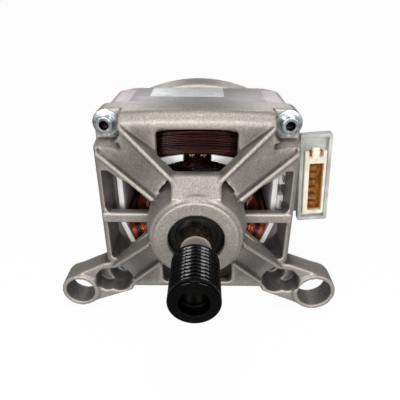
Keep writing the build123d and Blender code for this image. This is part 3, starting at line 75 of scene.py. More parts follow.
def linear(code: str) -> Colour:
    """Turns an sRGB hex value to a linear colour.

    Args:
        code: Six hex digits, such as "8f8a86".

    Returns:
        Red, green, blue and an alpha of 1.
    """
    channels = [int(code[i : i + 2], 16) / 255 for i in (0, 2, 4)]
    red, green, blue = [c / 12.92 if c <= 0.04045 else ((c + 0.055) / 1.055) ** 2.4 for c in channels]
    return (red, green, blue, 1.0)


def add(tree: NodeTree, kind: str, inputs: dict | None = None, stops: list | None = None,
        **settings: object) -> Node:
    """Adds a node with its settings and links.

    Args:
        tree: The node tree that the node joins.
        kind: Blender's name of the node's type, without "ShaderNode".
        inputs: Input name or number to a value, a hex colour, or the socket or node that feeds it.
        stops: Pairs of position and hex colour for a colour ramp.
        **settings: The node's own properties.

    Returns:
        The new node.
    """
    made = tree.nodes.new("ShaderNode" + kind)
    for key, value in settings.items():
        setattr(made, key, value)
    for key, value in (inputs or {}).items():
        if isinstance(value, Node):
            value = value.outputs[0]
        if isinstance(value, NodeSocket):
            tree.links.new(value, made.inputs[key])
        else:
            made.inputs[key].default_value = linear(value) if isinstance(value, str) else value
    if stops:
        ramp = made.color_ramp
        while len(ramp.elements) < len(stops):
            ramp.elements.new(0.5)
        for element, (position, code) in zip(ramp.elements, stops):
            element.position = position
            element.color = linear(code)
    return made


def region(tree: NodeTree, *bounds: tuple[object, Span]) -> Node:
    """Marks a part of a surface: the product of ramps, each from 0 at its first value to 1 at its second.

    Args:
        tree: The material's tree.
        *bounds: For each ramp, what it reads, and its two values in millimetres.

    Returns:
        The node that gives the product.
    """
    ramps = [add(tree, "MapRange", {0: read, 1: none * MM, 2: full * MM}) for read, (none, full) in bounds]
    share = ramps[0]
    for ramp in ramps[1:]:
        share = add(tree, "Math", {0: share, 1: ramp}, operation="MULTIPLY")
    return share


@dataclass(frozen=True)
class Finish:
    """A material of the motor; each kind of surface fills in its own nodes.

    Attributes:
        name: What the material is and how its surface was made.
        base: sRGB hex of the usual colour.
        dark: sRGB hex of the darker patches.
        light: sRGB hex of the lighter patches.
        metallic: 1 for bare metal, 0 for plastic.
        roughness: Typical roughness.
        grain_mm: Size of the fine grain.
        patch_mm: Size of the broad patches.
        relief_mm: Height of the grain's bumps.
        coat: Weight of a clear film of oil or enamel, 0 for none.
        coat_roughness: Roughness of that film.
        grain_spread: How far the grain takes the roughness up and down.
    """

    name: str
    base: str
    dark: str
    light: str
    metallic: float = 0.0
    roughness: float = 0.5
    grain_mm: float = 0.8
    patch_mm: float = 15.0
    relief_mm: float = 0.02
    coat: float = 0.0
    coat_roughness: float = 0.03
    grain_spread: float = 0.08

    def start(self) -> tuple[Material, NodeTree, Node, NodeSocket]:
        """Starts the material.

        Returns:
            The material, its tree, its shader and the Object coordinates.
        """
        material = bpy.data.materials.new(self.name)
        material.use_nodes = True
        tree = material.node_tree
        shader = tree.nodes["Principled BSDF"]
        for key, value in (("Metallic", self.metallic), ("Roughness", self.roughness),
                           ("Coat Weight", self.coat), ("Coat Roughness", self.coat_roughness)):
            shader.inputs[key].default_value = value
        material.diffuse_color = linear(self.base)
        return material, tree, shader, add(tree, "TexCoord").outputs["Object"]

    def ground(self, tree: NodeTree, place: NodeSocket) -> Node:
        """Broad patches between the dark, usual and light colours.

        Args:
            tree: The material's tree.
            place: Coordinates to read.

        Returns:
            The node that gives the colour.
        """
        patches = add(tree, "TexNoise", {"Vector": place, "Scale": 1000 / self.patch_mm, "Detail": 4.0,
                                         "Roughness": 0.6})
        return add(tree, "ValToRGB", {0: patches}, [(0.32, self.dark), (0.5, self.base), (0.7, self.light)])

    def cover(self, tree: NodeTree, shader: Node, place: NodeSocket, *tints: tuple) -> None:
        """Lays tints over the ground, and fine grain over those: in relief, roughness and a little in colour.

        Args:
            tree: The material's tree.
            shader: The shader that takes the result.
            place: Coordinates to read.
            *tints: For each tint its share, its colour and, unless it simply covers, its way of blending.
        """
        fine = add(tree, "TexNoise", {"Vector": place, "Scale": 1000 / self.grain_mm, "Detail": 2.0})
        colour = self.ground(tree, place)
        for share, over, *blend in (*tints, (0.35, fine, "OVERLAY")):
            mix = add(tree, "Mix", {0: share, 6: colour, 7: over}, data_type="RGBA",
                      blend_type=blend[0] if blend else "MIX")
            colour = mix.outputs[2]
        tree.links.new(colour, shader.inputs["Base Color"])
        spread = add(tree, "MapRange", {0: fine, 3: self.roughness - self.grain_spread,
                                        4: self.roughness + self.grain_spread})
        tree.links.new(spread.outputs[0], shader.inputs["Roughness"])
        bump = add(tree, "Bump", {"Strength": 1.0, "Distance": self.relief_mm * MM, "Height": fine})
        tree.links.new(bump.outputs[0], shader.inputs["Normal"])

    def make(self) -> Material:
        """Builds the material.

        Returns:
            The finished material.
        """
        material, tree, shader, place = self.start()
        self.cover(tree, shader, place)
        return material


@dataclass(frozen=True)
class BlastedCasting(Finish):
    """Die-cast aluminium, blasted: dull warm grey with painted glints in the grit, and edges paler from wear
    and painted highlight.

    Each tint has the mesh attribute that it reads, which is 0.5 on flat ground, its sRGB hex, the two values
    between which it comes in, and its most.

    Attributes:
        floors: Painted shade: darker tint of the sunk floors between ridges.
        proud: Painted light: paler tint of the ground that stands out.
        rubbed: Tint of the edges, paler from wear and from painted highlight.
        hollow: Painted shade: darker tint of the sharp inner corners.
        grit_mm: Size of the glinting grit.
    """

    # painted shade on the sunk floors between ridges
    floors: Tint = ("rise", "5f5956", 0.47, 0.22, 0.9)
    # painted light on the ground that stands out
    proud: Tint = ("rise", "aaa39c", 0.53, 0.8, 0.85)
    # edges paler from wear and from painted highlight
    rubbed: Tint = ("ridge", "c9c1b8", 0.56, 0.86, 0.6)
    # painted shade in the sharp inner corners
    hollow: Tint = ("ridge", "4c4743", 0.46, 0.2, 0.7)
    grit_mm: float = 0.5

    def make(self) -> Material:
        """Builds the casting's material.

        Returns:
            The finished material.
        """
        material, tree, shader, place = self.start()
        tints = []
        for name, code, start, end, most in (self.floors, self.proud, self.rubbed, self.hollow):
            level = add(tree, "Attribute", attribute_name=name).outputs["Fac"]
            tints.append((add(tree, "MapRange", {0: level, 1: start, 2: end, 3: 0.0, 4: most}), code))
        # painted glints: bright specks of the grit laid into the colour
        grit = add(tree, "TexVoronoi", {"Vector": place, "Scale": 1000 / self.grit_mm})
        tone = add(tree, "RGBToBW", {0: grit.outputs["Color"]})
        glint = add(tree, "ValToRGB", {0: tone}, [(0.22, "757575"), (0.55, "bcbcbc"), (0.86, "f4f4f4")])
        self.cover(tree, shader, place, *tints[:2], (0.3, glint, "OVERLAY"), *tints[2:])
        return material


@dataclass(frozen=True)
class StackedSheets(Finish):
    """Varnished lamination steel: lilac grey, with the sheets' edges as fine lines round the stack.

    Attributes:
        sheet_mm: Thickness of one sheet, drawn coarser than its real half millimetre so that it shows.
        dusk: sRGB hex of the darker field on the top.
        field_mm: X, Y and Z between which the field comes in.
        blush: sRGB hex of the paler corners.
        corner_mm: X between which the corners come in.
        drift_mm: How far the corners' and field's edges wander.
        wobble_mm: Size of the waves in these edges.
    """

    sheet_mm: float = 1.0
    dusk: str = "8c8886"
    field_mm: tuple[Span, Span, Span] = ((40.2, 39.2), (100.6, 101.4), (52.0, 53.0))
    blush: str = "c2b6bb"
    corner_mm: Span = (39.0, 40.5)
    drift_mm: float = 2.2
    wobble_mm: float = 6.25

    def make(self) -> Material:
        """Builds the laminations' material.

        Returns:
            The finished material.
        """
        material, tree, shader, place = self.start()
        parts = add(tree, "SeparateXYZ", {0: place})
        side = add(tree, "Math", {0: parts}, operation="ABSOLUTE")
        wobble = add(tree, "TexNoise", {"Vector": place, "Scale": 1000 / self.wobble_mm, "Detail": 3.0})
        drift = add(tree, "Math", {0: wobble, 1: self.drift_mm * MM, 2: side}, operation="MULTIPLY_ADD")
        corner = region(tree, (drift, self.corner_mm))
        field = region(tree, *zip((drift, parts.outputs[1], parts.outputs[2]), self.field_mm))
        lines = add(tree, "TexWave", {"Vector": place, "Scale": 1000 / self.sheet_mm / 20 * math.pi,
                                      "Distortion": 0.4, "Detail": 1.0}, bands_direction="Y")
        self.cover(tree, shader, place, (corner, self.blush), (field, self.dusk), (0.12, lines, "OVERLAY"))
        relief = add(tree, "Bump", {"Strength": 0.5, "Distance": 0.03 * MM, "Height": lines.outputs[1],
                                    "Normal": shader.inputs["Normal"].links[0].from_socket})
        tree.links.new(relief.outputs[0], shader.inputs["Normal"])
        return material


@dataclass(frozen=True)
class TurnedShaft(Finish):
    """Ground shaft steel, tarnished brown behind the pulley, bright on the shoulder's cone, and painted dark
    as shade on its end sunk in the pulley.

    Attributes:
        bright: sRGB hex of the bare cone.
        rust: sRGB hex of the tarnish.
        sunk: sRGB hex of the painted shade on the shaft's end, sunk in the pulley's mouth.
        cone_mm: Where the bright cone starts and ends along Y.
        hidden_mm: Y between which the tarnish ends, inside the motor.
        sunk_mm: Y between which the painted shade on the sunk end comes in.
        cone_roughness: Roughness of the cone.
        rust_roughness: Roughness of the tarnish.
        speck_mm: Size of the tarnish's specks.
    """

    bright: str = "e6e0d6"
    rust: str = "3c3028"
    sunk: str = "2c2927"
    cone_mm: Span = (12.9, 23.2)
    hidden_mm: Span = (46.0, 45.0)
    sunk_mm: Span = (-2.0, -3.0)
    cone_roughness: float = 0.2
    rust_roughness: float = 0.7
    speck_mm: float = 1.111

    def make(self) -> Material:
        """Builds the shaft's material.

        Returns:
            The finished material.
        """
        material, tree, shader, place = self.start()
        along = add(tree, "SeparateXYZ", {0: place}).outputs[1]
        speck = add(tree, "TexNoise", {"Vector": place, "Scale": 1000 / self.speck_mm, "Detail": 5.0,
                                       "Roughness": 0.7})
        tarnish = add(tree, "ValToRGB", {0: speck}, [(0.38, "241c17"), (0.55, self.rust), (0.74, "8d8277")])
        start, end = self.cone_mm
        brown = region(tree, (along, (end, end + 0.4)), (along, self.hidden_mm))
        # painted shade on the shaft's end, sunk in the pulley's mouth
        sunk = region(tree, (along, self.sunk_mm))
        cone = region(tree, (along, (start - 0.2, start)), (along, (end + 0.1, end)))
        self.cover(tree, shader, place, (brown, tarnish), (sunk, self.sunk), (cone, self.bright))
        turned = add(tree, "MapRange", {0: cone, 3: self.roughness, 4: self.cone_roughness})
        rough = add(tree, "Mix", {0: brown, 2: turned, 3: self.rust_roughness})
        tree.links.new(rough.outputs[0], shader.inputs["Roughness"])
        return material


@dataclass(frozen=True)
class EnamelledWire(Finish):
    """Copper winding wire under baked enamel: each turn is its own shade, from near black to orange.

    Attributes:
        glow: sRGB hex of the brightest turns.
        streak_mm: Size of the streaks along the turns.
    """

    glow: str = "c4572e"
    streak_mm: float = 11.11

    def ground(self, tree: NodeTree, place: NodeSocket) -> Node:
        """Shades each turn by the mesh attribute "turn_tone", and streaks it.

        Args:
            tree: The material's tree.
            place: Coordinates to read.

        Returns:
            The node that gives the colour.
        """
        tone = add(tree, "Attribute", attribute_name="turn_tone").outputs["Fac"]
        streak = add(tree, "TexNoise", {"Vector": place, "Scale": 1000 / self.streak_mm, "Detail": 2.0})
        mixed = add(tree, "Math", {0: streak, 1: 0.5, 2: tone}, operation="MULTIPLY_ADD")
        stops = [(0.3, self.dark), (0.8, self.base), (0.92, self.light), (1.0, self.glow)]
        return add(tree, "ValToRGB", {0: mixed}, stops)


@dataclass(frozen=True)
class PlatedBolt(Finish):
    """Zinc-plated steel with a blue passivation, and painted shade that darkens the hexagon sockets.

    Attributes:
        grease: sRGB hex of the painted shade in the hexagon sockets.
        bolt_mm: Distance of every bolt's axis from the middle, along X and along Z.
        socket_mm: Radii between which the painted shade comes in.
    """

    # painted shade for the hexagon sockets
    grease: str = "15110f"
    bolt_mm: float = 48.25
    socket_mm: Span = (2.75, 2.45)

    def make(self) -> Material:
        """Builds the plating's material.

        Returns:
            The finished material.
        """
        material, tree, shader, place = self.start()
        folded = add(tree, "VectorMath", {0: place}, operation="ABSOLUTE")
        axis = (self.bolt_mm * MM, 0.0, self.bolt_mm * MM)
        shift = add(tree, "VectorMath", {0: folded, 1: axis}, operation="SUBTRACT")
        flat = add(tree, "VectorMath", {0: shift, 1: (1.0, 0.0, 1.0)}, operation="MULTIPLY")
        far = add(tree, "VectorMath", {0: flat}, operation="LENGTH").outputs[1]
        # the hexagon sockets get painted shade
        self.cover(tree, shader, place, (region(tree, (far, self.socket_mm)), self.grease))
        return material


@dataclass(frozen=True)
class StainedHousing(Finish):
    """Cream moulded nylon of the connector, browned round its contacts and in its keying notches.

    Attributes:
        stain: sRGB hex of the brown.
        corner_mm: Upper left corner of the housing's front, from which the places below are measured.
        tilt: Degrees that the housing leans.
        socket_mm: Where the socket's front, top, left, right, back and bottom begin and are full.
        spill_mm: How far the socket's stain wanders in depth.
        notch_x_mm: Middle of the two notches.
        notch_apart_mm: Distance of each notch from there.
        notch_mm: Distances from a notch's middle between which its stain comes in.
        notch_z_mm: Heights between which it comes in.
        notch_most: Its most.
        ragged_mm: How far its edges wander.
        blotch_mm: Size of the stain's blotches.
        glow: Weight of the light that goes in under the nylon's surface.
    """

    stain: str = "9a5f20"
    corner_mm: Point = (63.2, HUB_FACE + 54.0, 26.9)
    tilt: float = 4.5
    socket_mm: tuple[Span, ...] = (
        (0.9, 3.5), (-7.2, -8.2), (2.0, 3.0), (12.1, 11.3), (11.0, 10.0), (-40.9, -40.4))
    spill_mm: float = 6.0
    notch_x_mm: float = 6.4
    notch_apart_mm: float = 3.1
    notch_mm: Span = (1.7, 0.4)
    notch_z_mm: Span = (-5.2, -3.0)
    notch_most: float = 0.85
    ragged_mm: float = 4.0
    blotch_mm: float = 3.03
    glow: float = 0.08

    def make(self) -> Material:
        """Builds the housing's material.

        Returns:
            The finished material.
        """
        material, tree, shader, place = self.start()
        corner = tuple(c * MM for c in self.corner_mm)
        origin = add(tree, "VectorMath", {0: place, 1: corner}, operation="SUBTRACT")
        level = add(tree, "VectorRotate", {"Vector": origin, "Angle": math.radians(self.tilt)},
                    rotation_type="Y_AXIS")
        right, deep, up = add(tree, "SeparateXYZ", {0: level}).outputs
        blotch = add(tree, "TexNoise", {"Vector": place, "Scale": 1000 / self.blotch_mm, "Detail": 4.0,
                                        "Roughness": 0.65})
        uneven = add(tree, "Math", {0: blotch, 1: 0.5}, operation="SUBTRACT")
        spill = add(tree, "Math", {0: uneven, 1: self.spill_mm * MM, 2: deep}, operation="MULTIPLY_ADD")
        socket = region(tree, *zip((spill, up, right, right, deep, up), self.socket_mm))
        away = right
        for middle in (self.notch_x_mm, self.notch_apart_mm):
            offset = add(tree, "Math", {0: away, 1: middle * MM}, operation="SUBTRACT")
            away = add(tree, "Math", {0: offset}, operation="ABSOLUTE")
        ragged = add(tree, "Math", {0: uneven, 1: self.ragged_mm * MM, 2: away}, operation="MULTIPLY_ADD")
        notch = region(tree, (ragged, self.notch_mm), (up, self.notch_z_mm))
        faint = add(tree, "Math", {0: notch, 1: self.notch_most}, operation="MULTIPLY")
        brown = add(tree, "Math", {0: socket, 1: faint}, operation="MAXIMUM")
        tint = add(tree, "ValToRGB", {0: blotch}, [(0.35, "6b3b10"), (0.5, self.stain), (0.7, "c58a3c")])
        self.cover(tree, shader, place, (brown, tint))
        shader.inputs["Subsurface Weight"].default_value = self.glow
        shader.inputs["Subsurface Scale"].default_value = MM
        return material


@dataclass(frozen=True)
class StainedTin(Finish):
    """Tinned brass, browned by old flux and dirt on the connector's contacts and clean elsewhere.

    Attributes:
        stain: sRGB hex of the brown.
        stain_mm: X between which the stain comes in.
        stain_metallic: How metallic the stain is.
        blotch_mm: Size of its blotches.
    """

    stain: str = "8a5420"
    stain_mm: Span = (64.0, 64.5)
    stain_metallic: float = 0.2
    blotch_mm: float = 1.667

    def make(self) -> Material:
        """Builds the tin's material.

        Returns:
            The finished material.
        """
        material, tree, shader, place = self.start()
        there = region(tree, (add(tree, "SeparateXYZ", {0: place}), self.stain_mm))
        blotch = add(tree, "TexNoise", {"Vector": place, "Scale": 1000 / self.blotch_mm, "Detail": 4.0,
                                        "Roughness": 0.65})
        tint = add(tree, "ValToRGB", {0: blotch}, [(0.35, "55300f"), (0.52, self.stain), (0.72, "b98648")])
        self.cover(tree, shader, place, (there, tint))
        bare = add(tree, "Mix", {0: there, 2: self.metallic, 3: self.stain_metallic})
        tree.links.new(bare.outputs[0], shader.inputs["Metallic"])
        return material


class Slot(Enum):
    """The record's material slots, each with its finish."""

    cast_aluminium = BlastedCasting("die_cast_aluminium_blasted", "8a8480", "7b7571", "99938e",
                                    0.6, 0.5, 0.45, 18.0, 0.05)
    lamination_steel = StackedSheets("lamination_steel_varnished", "948c94", "867e87", "a29aa2",
                                     0.25, 0.5, 0.5, 9.0, 0.012)
    # Polyester film, bare: smooth and faintly cool, with a soft sheen
    label_film = Finish("polyester_label_bare", "c3c7c6", "b4b9b9", "d0d3d2", 0.0, 0.42, 0.6, 7.0, 0.004)
    zinc_steel = PlatedBolt("steel_zinc_plated", "bcc3c5", "949c9f", "dde3e4", 0.9, 0.3, 0.5, 3.0, 0.006)
    coil_copper = EnamelledWire("copper_wire_enamelled", "42130b", "170604", "8a341d",
                                0.7, 0.3, 0.7, 5.0, 0.004, 0.4, 0.2)
    # Moulded nylon: plain white with a low satin shine
    white_nylon = Finish("nylon_moulded_white", "eeeeec", "e2e3e2", "f6f6f5", 0.0, 0.45, 0.5, 9.0, 0.008)
    tin_plate = StainedTin("brass_tinned", "b9b7b0", "8f8c84", "d8d6d0", 1.0, 0.32, 0.4, 2.5, 0.005)
    shaft_steel = TurnedShaft("shaft_steel_ground", "7b7671", "5f5a55", "98938d", 1.0, 0.34, 0.5, 6.0, 0.01)
    # Turned steel, oxidised black and oiled: almost black, with sharp highlights on each rib
    black_oxide = Finish("steel_oxidised_black", "0d0d0e", "070708", "161718",
                         0.95, 0.24, 0.35, 4.0, 0.004, 0.3, 0.12)
    # Ground steel, painted dark as the shade that it sits in within the hub, with a dull metal shine
    bearing_steel = Finish("bearing_steel_ground", "2b2927", "1a1817", "4a4643", 0.9, 0.42, 0.4, 4.0, 0.004)
    # Pressed steel: black and nearly matt
    shield_steel = Finish("bearing_shield_black", "161413", "0c0b0a", "262220", 0.4, 0.5, 0.5, 3.0, 0.02)
    # Cut pressboard: straw-coloured, fibrous and matt
    insulating_paper = Finish("pressboard_cut", "b9ab80", "a3946a", "cbbf98", 0.0, 0.75, 0.5, 4.0, 0.02)
    # Copper that carbon brushes run on: brown red, with a worn polish
    commutator_copper = Finish("commutator_copper_worn", "8b4a30", "5d2f20", "b56a47",
                               1.0, 0.33, 0.4, 3.0, 0.006)
    # Moulded phenolic: dark brown and dull
    phenolic = Finish("phenolic_moulded", "3a241a", "291912", "4c3226", 0.0, 0.55, 0.5, 5.0, 0.015)
    # Glass-filled nylon: black, with the fibres just showing as a fine grain
    black_plastic = Finish("glass_filled_nylon_black", "1b1b1d", "121214", "27282a",
                           0.0, 0.5, 0.5, 8.0, 0.02)
    # Drawn brass: yellow metal with soft highlights
    brass_tube = Finish("brass_drawn", "b0904c", "8f7338", "cbb070", 1.0, 0.3, 0.5, 6.0, 0.005)
    # Pressed carbon: charcoal grey with a slight metal glint
    carbon = Finish("carbon_pressed", "26262a", "1a1a1c", "37373b", 0.2, 0.6, 0.4, 3.0, 0.02)
    # Drawn spring steel: bright grey metal
    spring_steel = Finish("spring_steel_bright", "8c8f92", "6d7073", "adb0b3", 1.0, 0.28, 0.4, 4.0, 0.004)
    # Ground ferrite: dark grey, between stone and metal
    ferrite = Finish("ferrite_ground", "2e2e31", "222224", "3e3e42", 0.3, 0.45, 0.4, 4.0, 0.01)
    # Glass-filled nylon: pale grey, with a fine grain and faint flow marks
    grey_plastic = Finish("glass_filled_nylon_grey", "a9aaa6", "949590", "bcbdb9", 0.0, 0.5, 0.6, 11.0, 0.03)
    cream_plastic = StainedHousing("nylon_moulded_cream", "ded6c4", "cfc5af", "ebe5d7",
                                   0.0, 0.42, 0.5, 8.0, 0.008)

    def dress(self, piece: Object) -> None:
        """Gives a piece this slot's finish alone, which is made on its first use.

        Args:
            piece: The object to dress.
        """
        piece.data.materials.clear()
        piece.data.materials.append(bpy.data.materials.get(self.value.name) or self.value.make())


def new_object(name: str, points: np.ndarray, faces: list[list[int]]) -> Object:
    """Puts points and faces into a mesh object at the origin.

    Args:
        name: The piece's name.
        points: Vertices in millimetres, one row each.
        faces: Vertex numbers of each face.

    Returns:
        The new object.
    """
    mesh = bpy.data.meshes.new(name)
    mesh.from_pydata((points * MM).tolist(), [], faces)
    piece = bpy.data.objects.new(name, mesh)
    bpy.context.scene.collection.objects.link(piece)
    return piece


def tube(path: np.ndarray, aside: np.ndarray, radius: float, sides: int) -> Tube:
    """Round tube along a path: at each point a circle of radius r lies across the path's direction.

    Args:
        path: Centre points, n rows.
        aside: For each point, a direction that isn't along the path.
        radius: The tube's radius in millimetres.
        sides: Number of sides.

    Returns:
        Vertices, and faces of four corners with the ends closed by fans to the end points.
    """
    along = np.gradient(path, axis=0)
    along /= np.linalg.norm(along, axis=1, keepdims=True)
    second = np.cross(along, aside)
    second /= np.linalg.norm(second, axis=1, keepdims=True)
    first = np.cross(second, along)
    turn = np.linspace(0, 2 * np.pi, sides, endpoint=False)
    ring = path[:, None] + radius * (np.cos(turn)[None, :, None] * first[:, None]
                                     + np.sin(turn)[None, :, None] * second[:, None])
    count = len(path)
    index = np.arange(count * sides).reshape(count, sides)
    right = np.roll(index, -1, axis=1)
    faces = np.stack([index[:-1], right[:-1], right[1:], index[1:]], axis=-1).reshape(-1, 4)
    middle = count * sides
    caps = np.concatenate([
        np.stack([np.full(sides, middle), right[0], index[0], index[0]], axis=-1),
        np.stack([np.full(sides, middle + 1), index[-1], right[-1], right[-1]], axis=-1),
    ])
    points = np.concatenate([ring.reshape(-1, 3), path[:1], path[-1:]])
    return points, np.concatenate([faces, caps])


def tube_object(name: str, tubes: list[Tube], tones: list[np.ndarray]) -> Object:
    """Joins tubes into one object, with the repeated corner of each cap's triangles dropped.

    Args:
        name: The piece's name.
        tubes: Vertices and faces of each tube.
        tones: The shade of each tube's vertices, from 0 for dark to 1 for bright.

    Returns:
        The new object.
    """
    faces, base = [], 0
    for points, corners in tubes:
        faces += [row[:3] if row[2] == row[3] else row for row in (corners + base).tolist()]
        base += len(points)
    piece = new_object(name, np.concatenate([points for points, _ in tubes]), faces)
    piece.data.shade_smooth()
    shade = piece.data.attributes.new("turn_tone", "FLOAT", "POINT")
    shade.data.foreach_set("value", np.concatenate(tones).astype(np.float32))
    return piece


def merged_copy(node: str, name: str) -> Object:
    """Copies a node of the frame, with its loose triangles merged.

    Args:
        node: The node's name in the frame.
        name: The copy's name.

    Returns:
        The copy, at the origin.
    """
    piece = bpy.data.objects.new(name, FRAME["nodes"][node].data.copy())
    bpy.context.scene.collection.objects.link(piece)
    work = bmesh.new()
    work.from_mesh(piece.data)
    bmesh.ops.remove_doubles(work, verts=work.verts, dist=0.002 * MM)
    work.to_mesh(piece.data)
    work.free()
    return piece


def apply_modifiers(piece: Object) -> None:
    """Bakes a piece's modifiers into its mesh.

    Args:
        piece: The piece.
    """
    depsgraph = bpy.context.evaluated_depsgraph_get()
    mesh = bpy.data.meshes.new_from_object(piece.evaluated_get(depsgraph))
    piece.modifiers.clear()
    piece.data = mesh


@dataclass
class EdgedPiece:
    """A moulded or turned piece: the frame's own solid with its sharp edges broken.

    Attributes:
        node: The node it stands for.
        body: The body it rides on.
        slot: Its finish.
        edge_mm: Width of the broken edges.
        segments: Steps across each broken edge.
        level: Degrees under which two faces count as one.
        breaks: Degrees over which an edge is broken.
        sharp: Degrees over which an edge is still shaded sharp.
    """

    node: str
    body: str
    slot: Slot
    edge_mm: float
    segments: int = 2
    level: float = 0.6
    breaks: float = 38.0
    sharp: float = 36.0

    def build(self) -> Object:
        """Builds the piece: flat faces are joined first, so that only real edges are broken.

        Returns:
            The finished piece.
        """
        piece = merged_copy(self.node, self.node + "_edged")
        work = bmesh.new()
        work.from_mesh(piece.data)
        bmesh.ops.dissolve_limit(work, angle_limit=math.radians(self.level), verts=work.verts,
                                 edges=work.edges)
        work.to_mesh(piece.data)
        work.free()
        bevel = piece.modifiers.new("broken_edges", "BEVEL")
        bevel.width = self.edge_mm * MM
        bevel.segments = self.segments
        bevel.limit_method = "ANGLE"
        bevel.angle_limit = math.radians(self.breaks)
        apply_modifiers(piece)
        piece.data.shade_smooth()
        piece.data.set_sharp_from_angle(angle=math.radians(self.sharp))
        self.slot.dress(piece)
        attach(piece, self.body)
        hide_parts(self.node)
        return piece


@dataclass
class Casting:
    """A die-cast bracket: the frame's solid, melted a little so that its edges and roots are round.

    Attributes:
        node: The node it stands for.
        voxel_mm: Size of the volume cells.
        rounds: Number of smoothing rounds, which sets how round the edges are.
        spread: Rounds of averaging that tell a ridge from a hollow.
        wide_spread: Further rounds that tell a sunk floor from the ground round it.
        gains: What a millimetre adds to "ridge" and to "rise".
        most_triangles: Size past which the mesh is thinned.
    """

    node: str
    voxel_mm: float = 0.65
    rounds: int = 8
    spread: int = 10
    wide_spread: int = 420
    gains: Span = (0.9, 0.16)
    most_triangles: int = 190000

    def build(self) -> Object:
        """Builds the casting and its ridge attribute.

        Returns:
            The finished piece.
        """
        piece = merged_copy(self.node, self.node + "_cast")
        remesh = piece.modifiers.new("melt", "REMESH")
        remesh.mode = "VOXEL"
        remesh.voxel_size = self.voxel_mm * MM * 1.0
        smooth = piece.modifiers.new("soften", "SMOOTH")
        smooth.factor = 0.5
        smooth.iterations = self.rounds
        apply_modifiers(piece)
        triangles = 2 * len(piece.data.polygons)
        if triangles > self.most_triangles:
            thin = piece.modifiers.new("thin", "DECIMATE")
            thin.ratio = self.most_triangles / triangles
            apply_modifiers(piece)
        piece.data.shade_smooth()
        self.mark_ridges(piece.data)
        Slot.cast_aluminium.dress(piece)
        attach(piece, "frame")
        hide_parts(self.node)
        return piece

    def mark_ridges(self, mesh: Mesh) -> None:
        """Writes "ridge" and "rise": 0.5 on flat ground, more where it stands out and less where it sinks.

        Both are how far each vertex stands out, along its normal, from the average of its neighbours:
        the near ones for "ridge", which finds edges, and a wide ring for "rise", which finds the sunk
        floors between ridges.

        Args:
            mesh: The casting's mesh.
        """
        count = len(mesh.vertices)
        places, normals = np.empty((count, 3)), np.empty((count, 3))
        mesh.vertices.foreach_get("co", places.reshape(-1))
        mesh.vertices.foreach_get("normal", normals.reshape(-1))
        pairs = np.empty(len(mesh.edges) * 2, dtype=np.int64)
        mesh.edges.foreach_get("vertices", pairs)
        one, two = pairs.reshape(-1, 2).T
        degree = np.bincount(pairs, minlength=count).clip(1)[:, None]
        mean = places.copy()
        for name, rounds, gain in zip(("ridge", "rise"), (self.spread, self.wide_spread), self.gains):
            for _ in range(rounds):
                total = np.stack([np.bincount(one, mean[two, k], count)
                                  + np.bincount(two, mean[one, k], count) for k in range(3)], axis=1)
                mean = 0.5 * mean + 0.5 * total / degree
            stand = ((places - mean) * normals).sum(axis=1) / MM
            attribute = mesh.attributes.new(name, "FLOAT", "POINT")
            attribute.data.foreach_set("value", np.clip(0.5 + stand * gain, 0, 1).astype(np.float32))


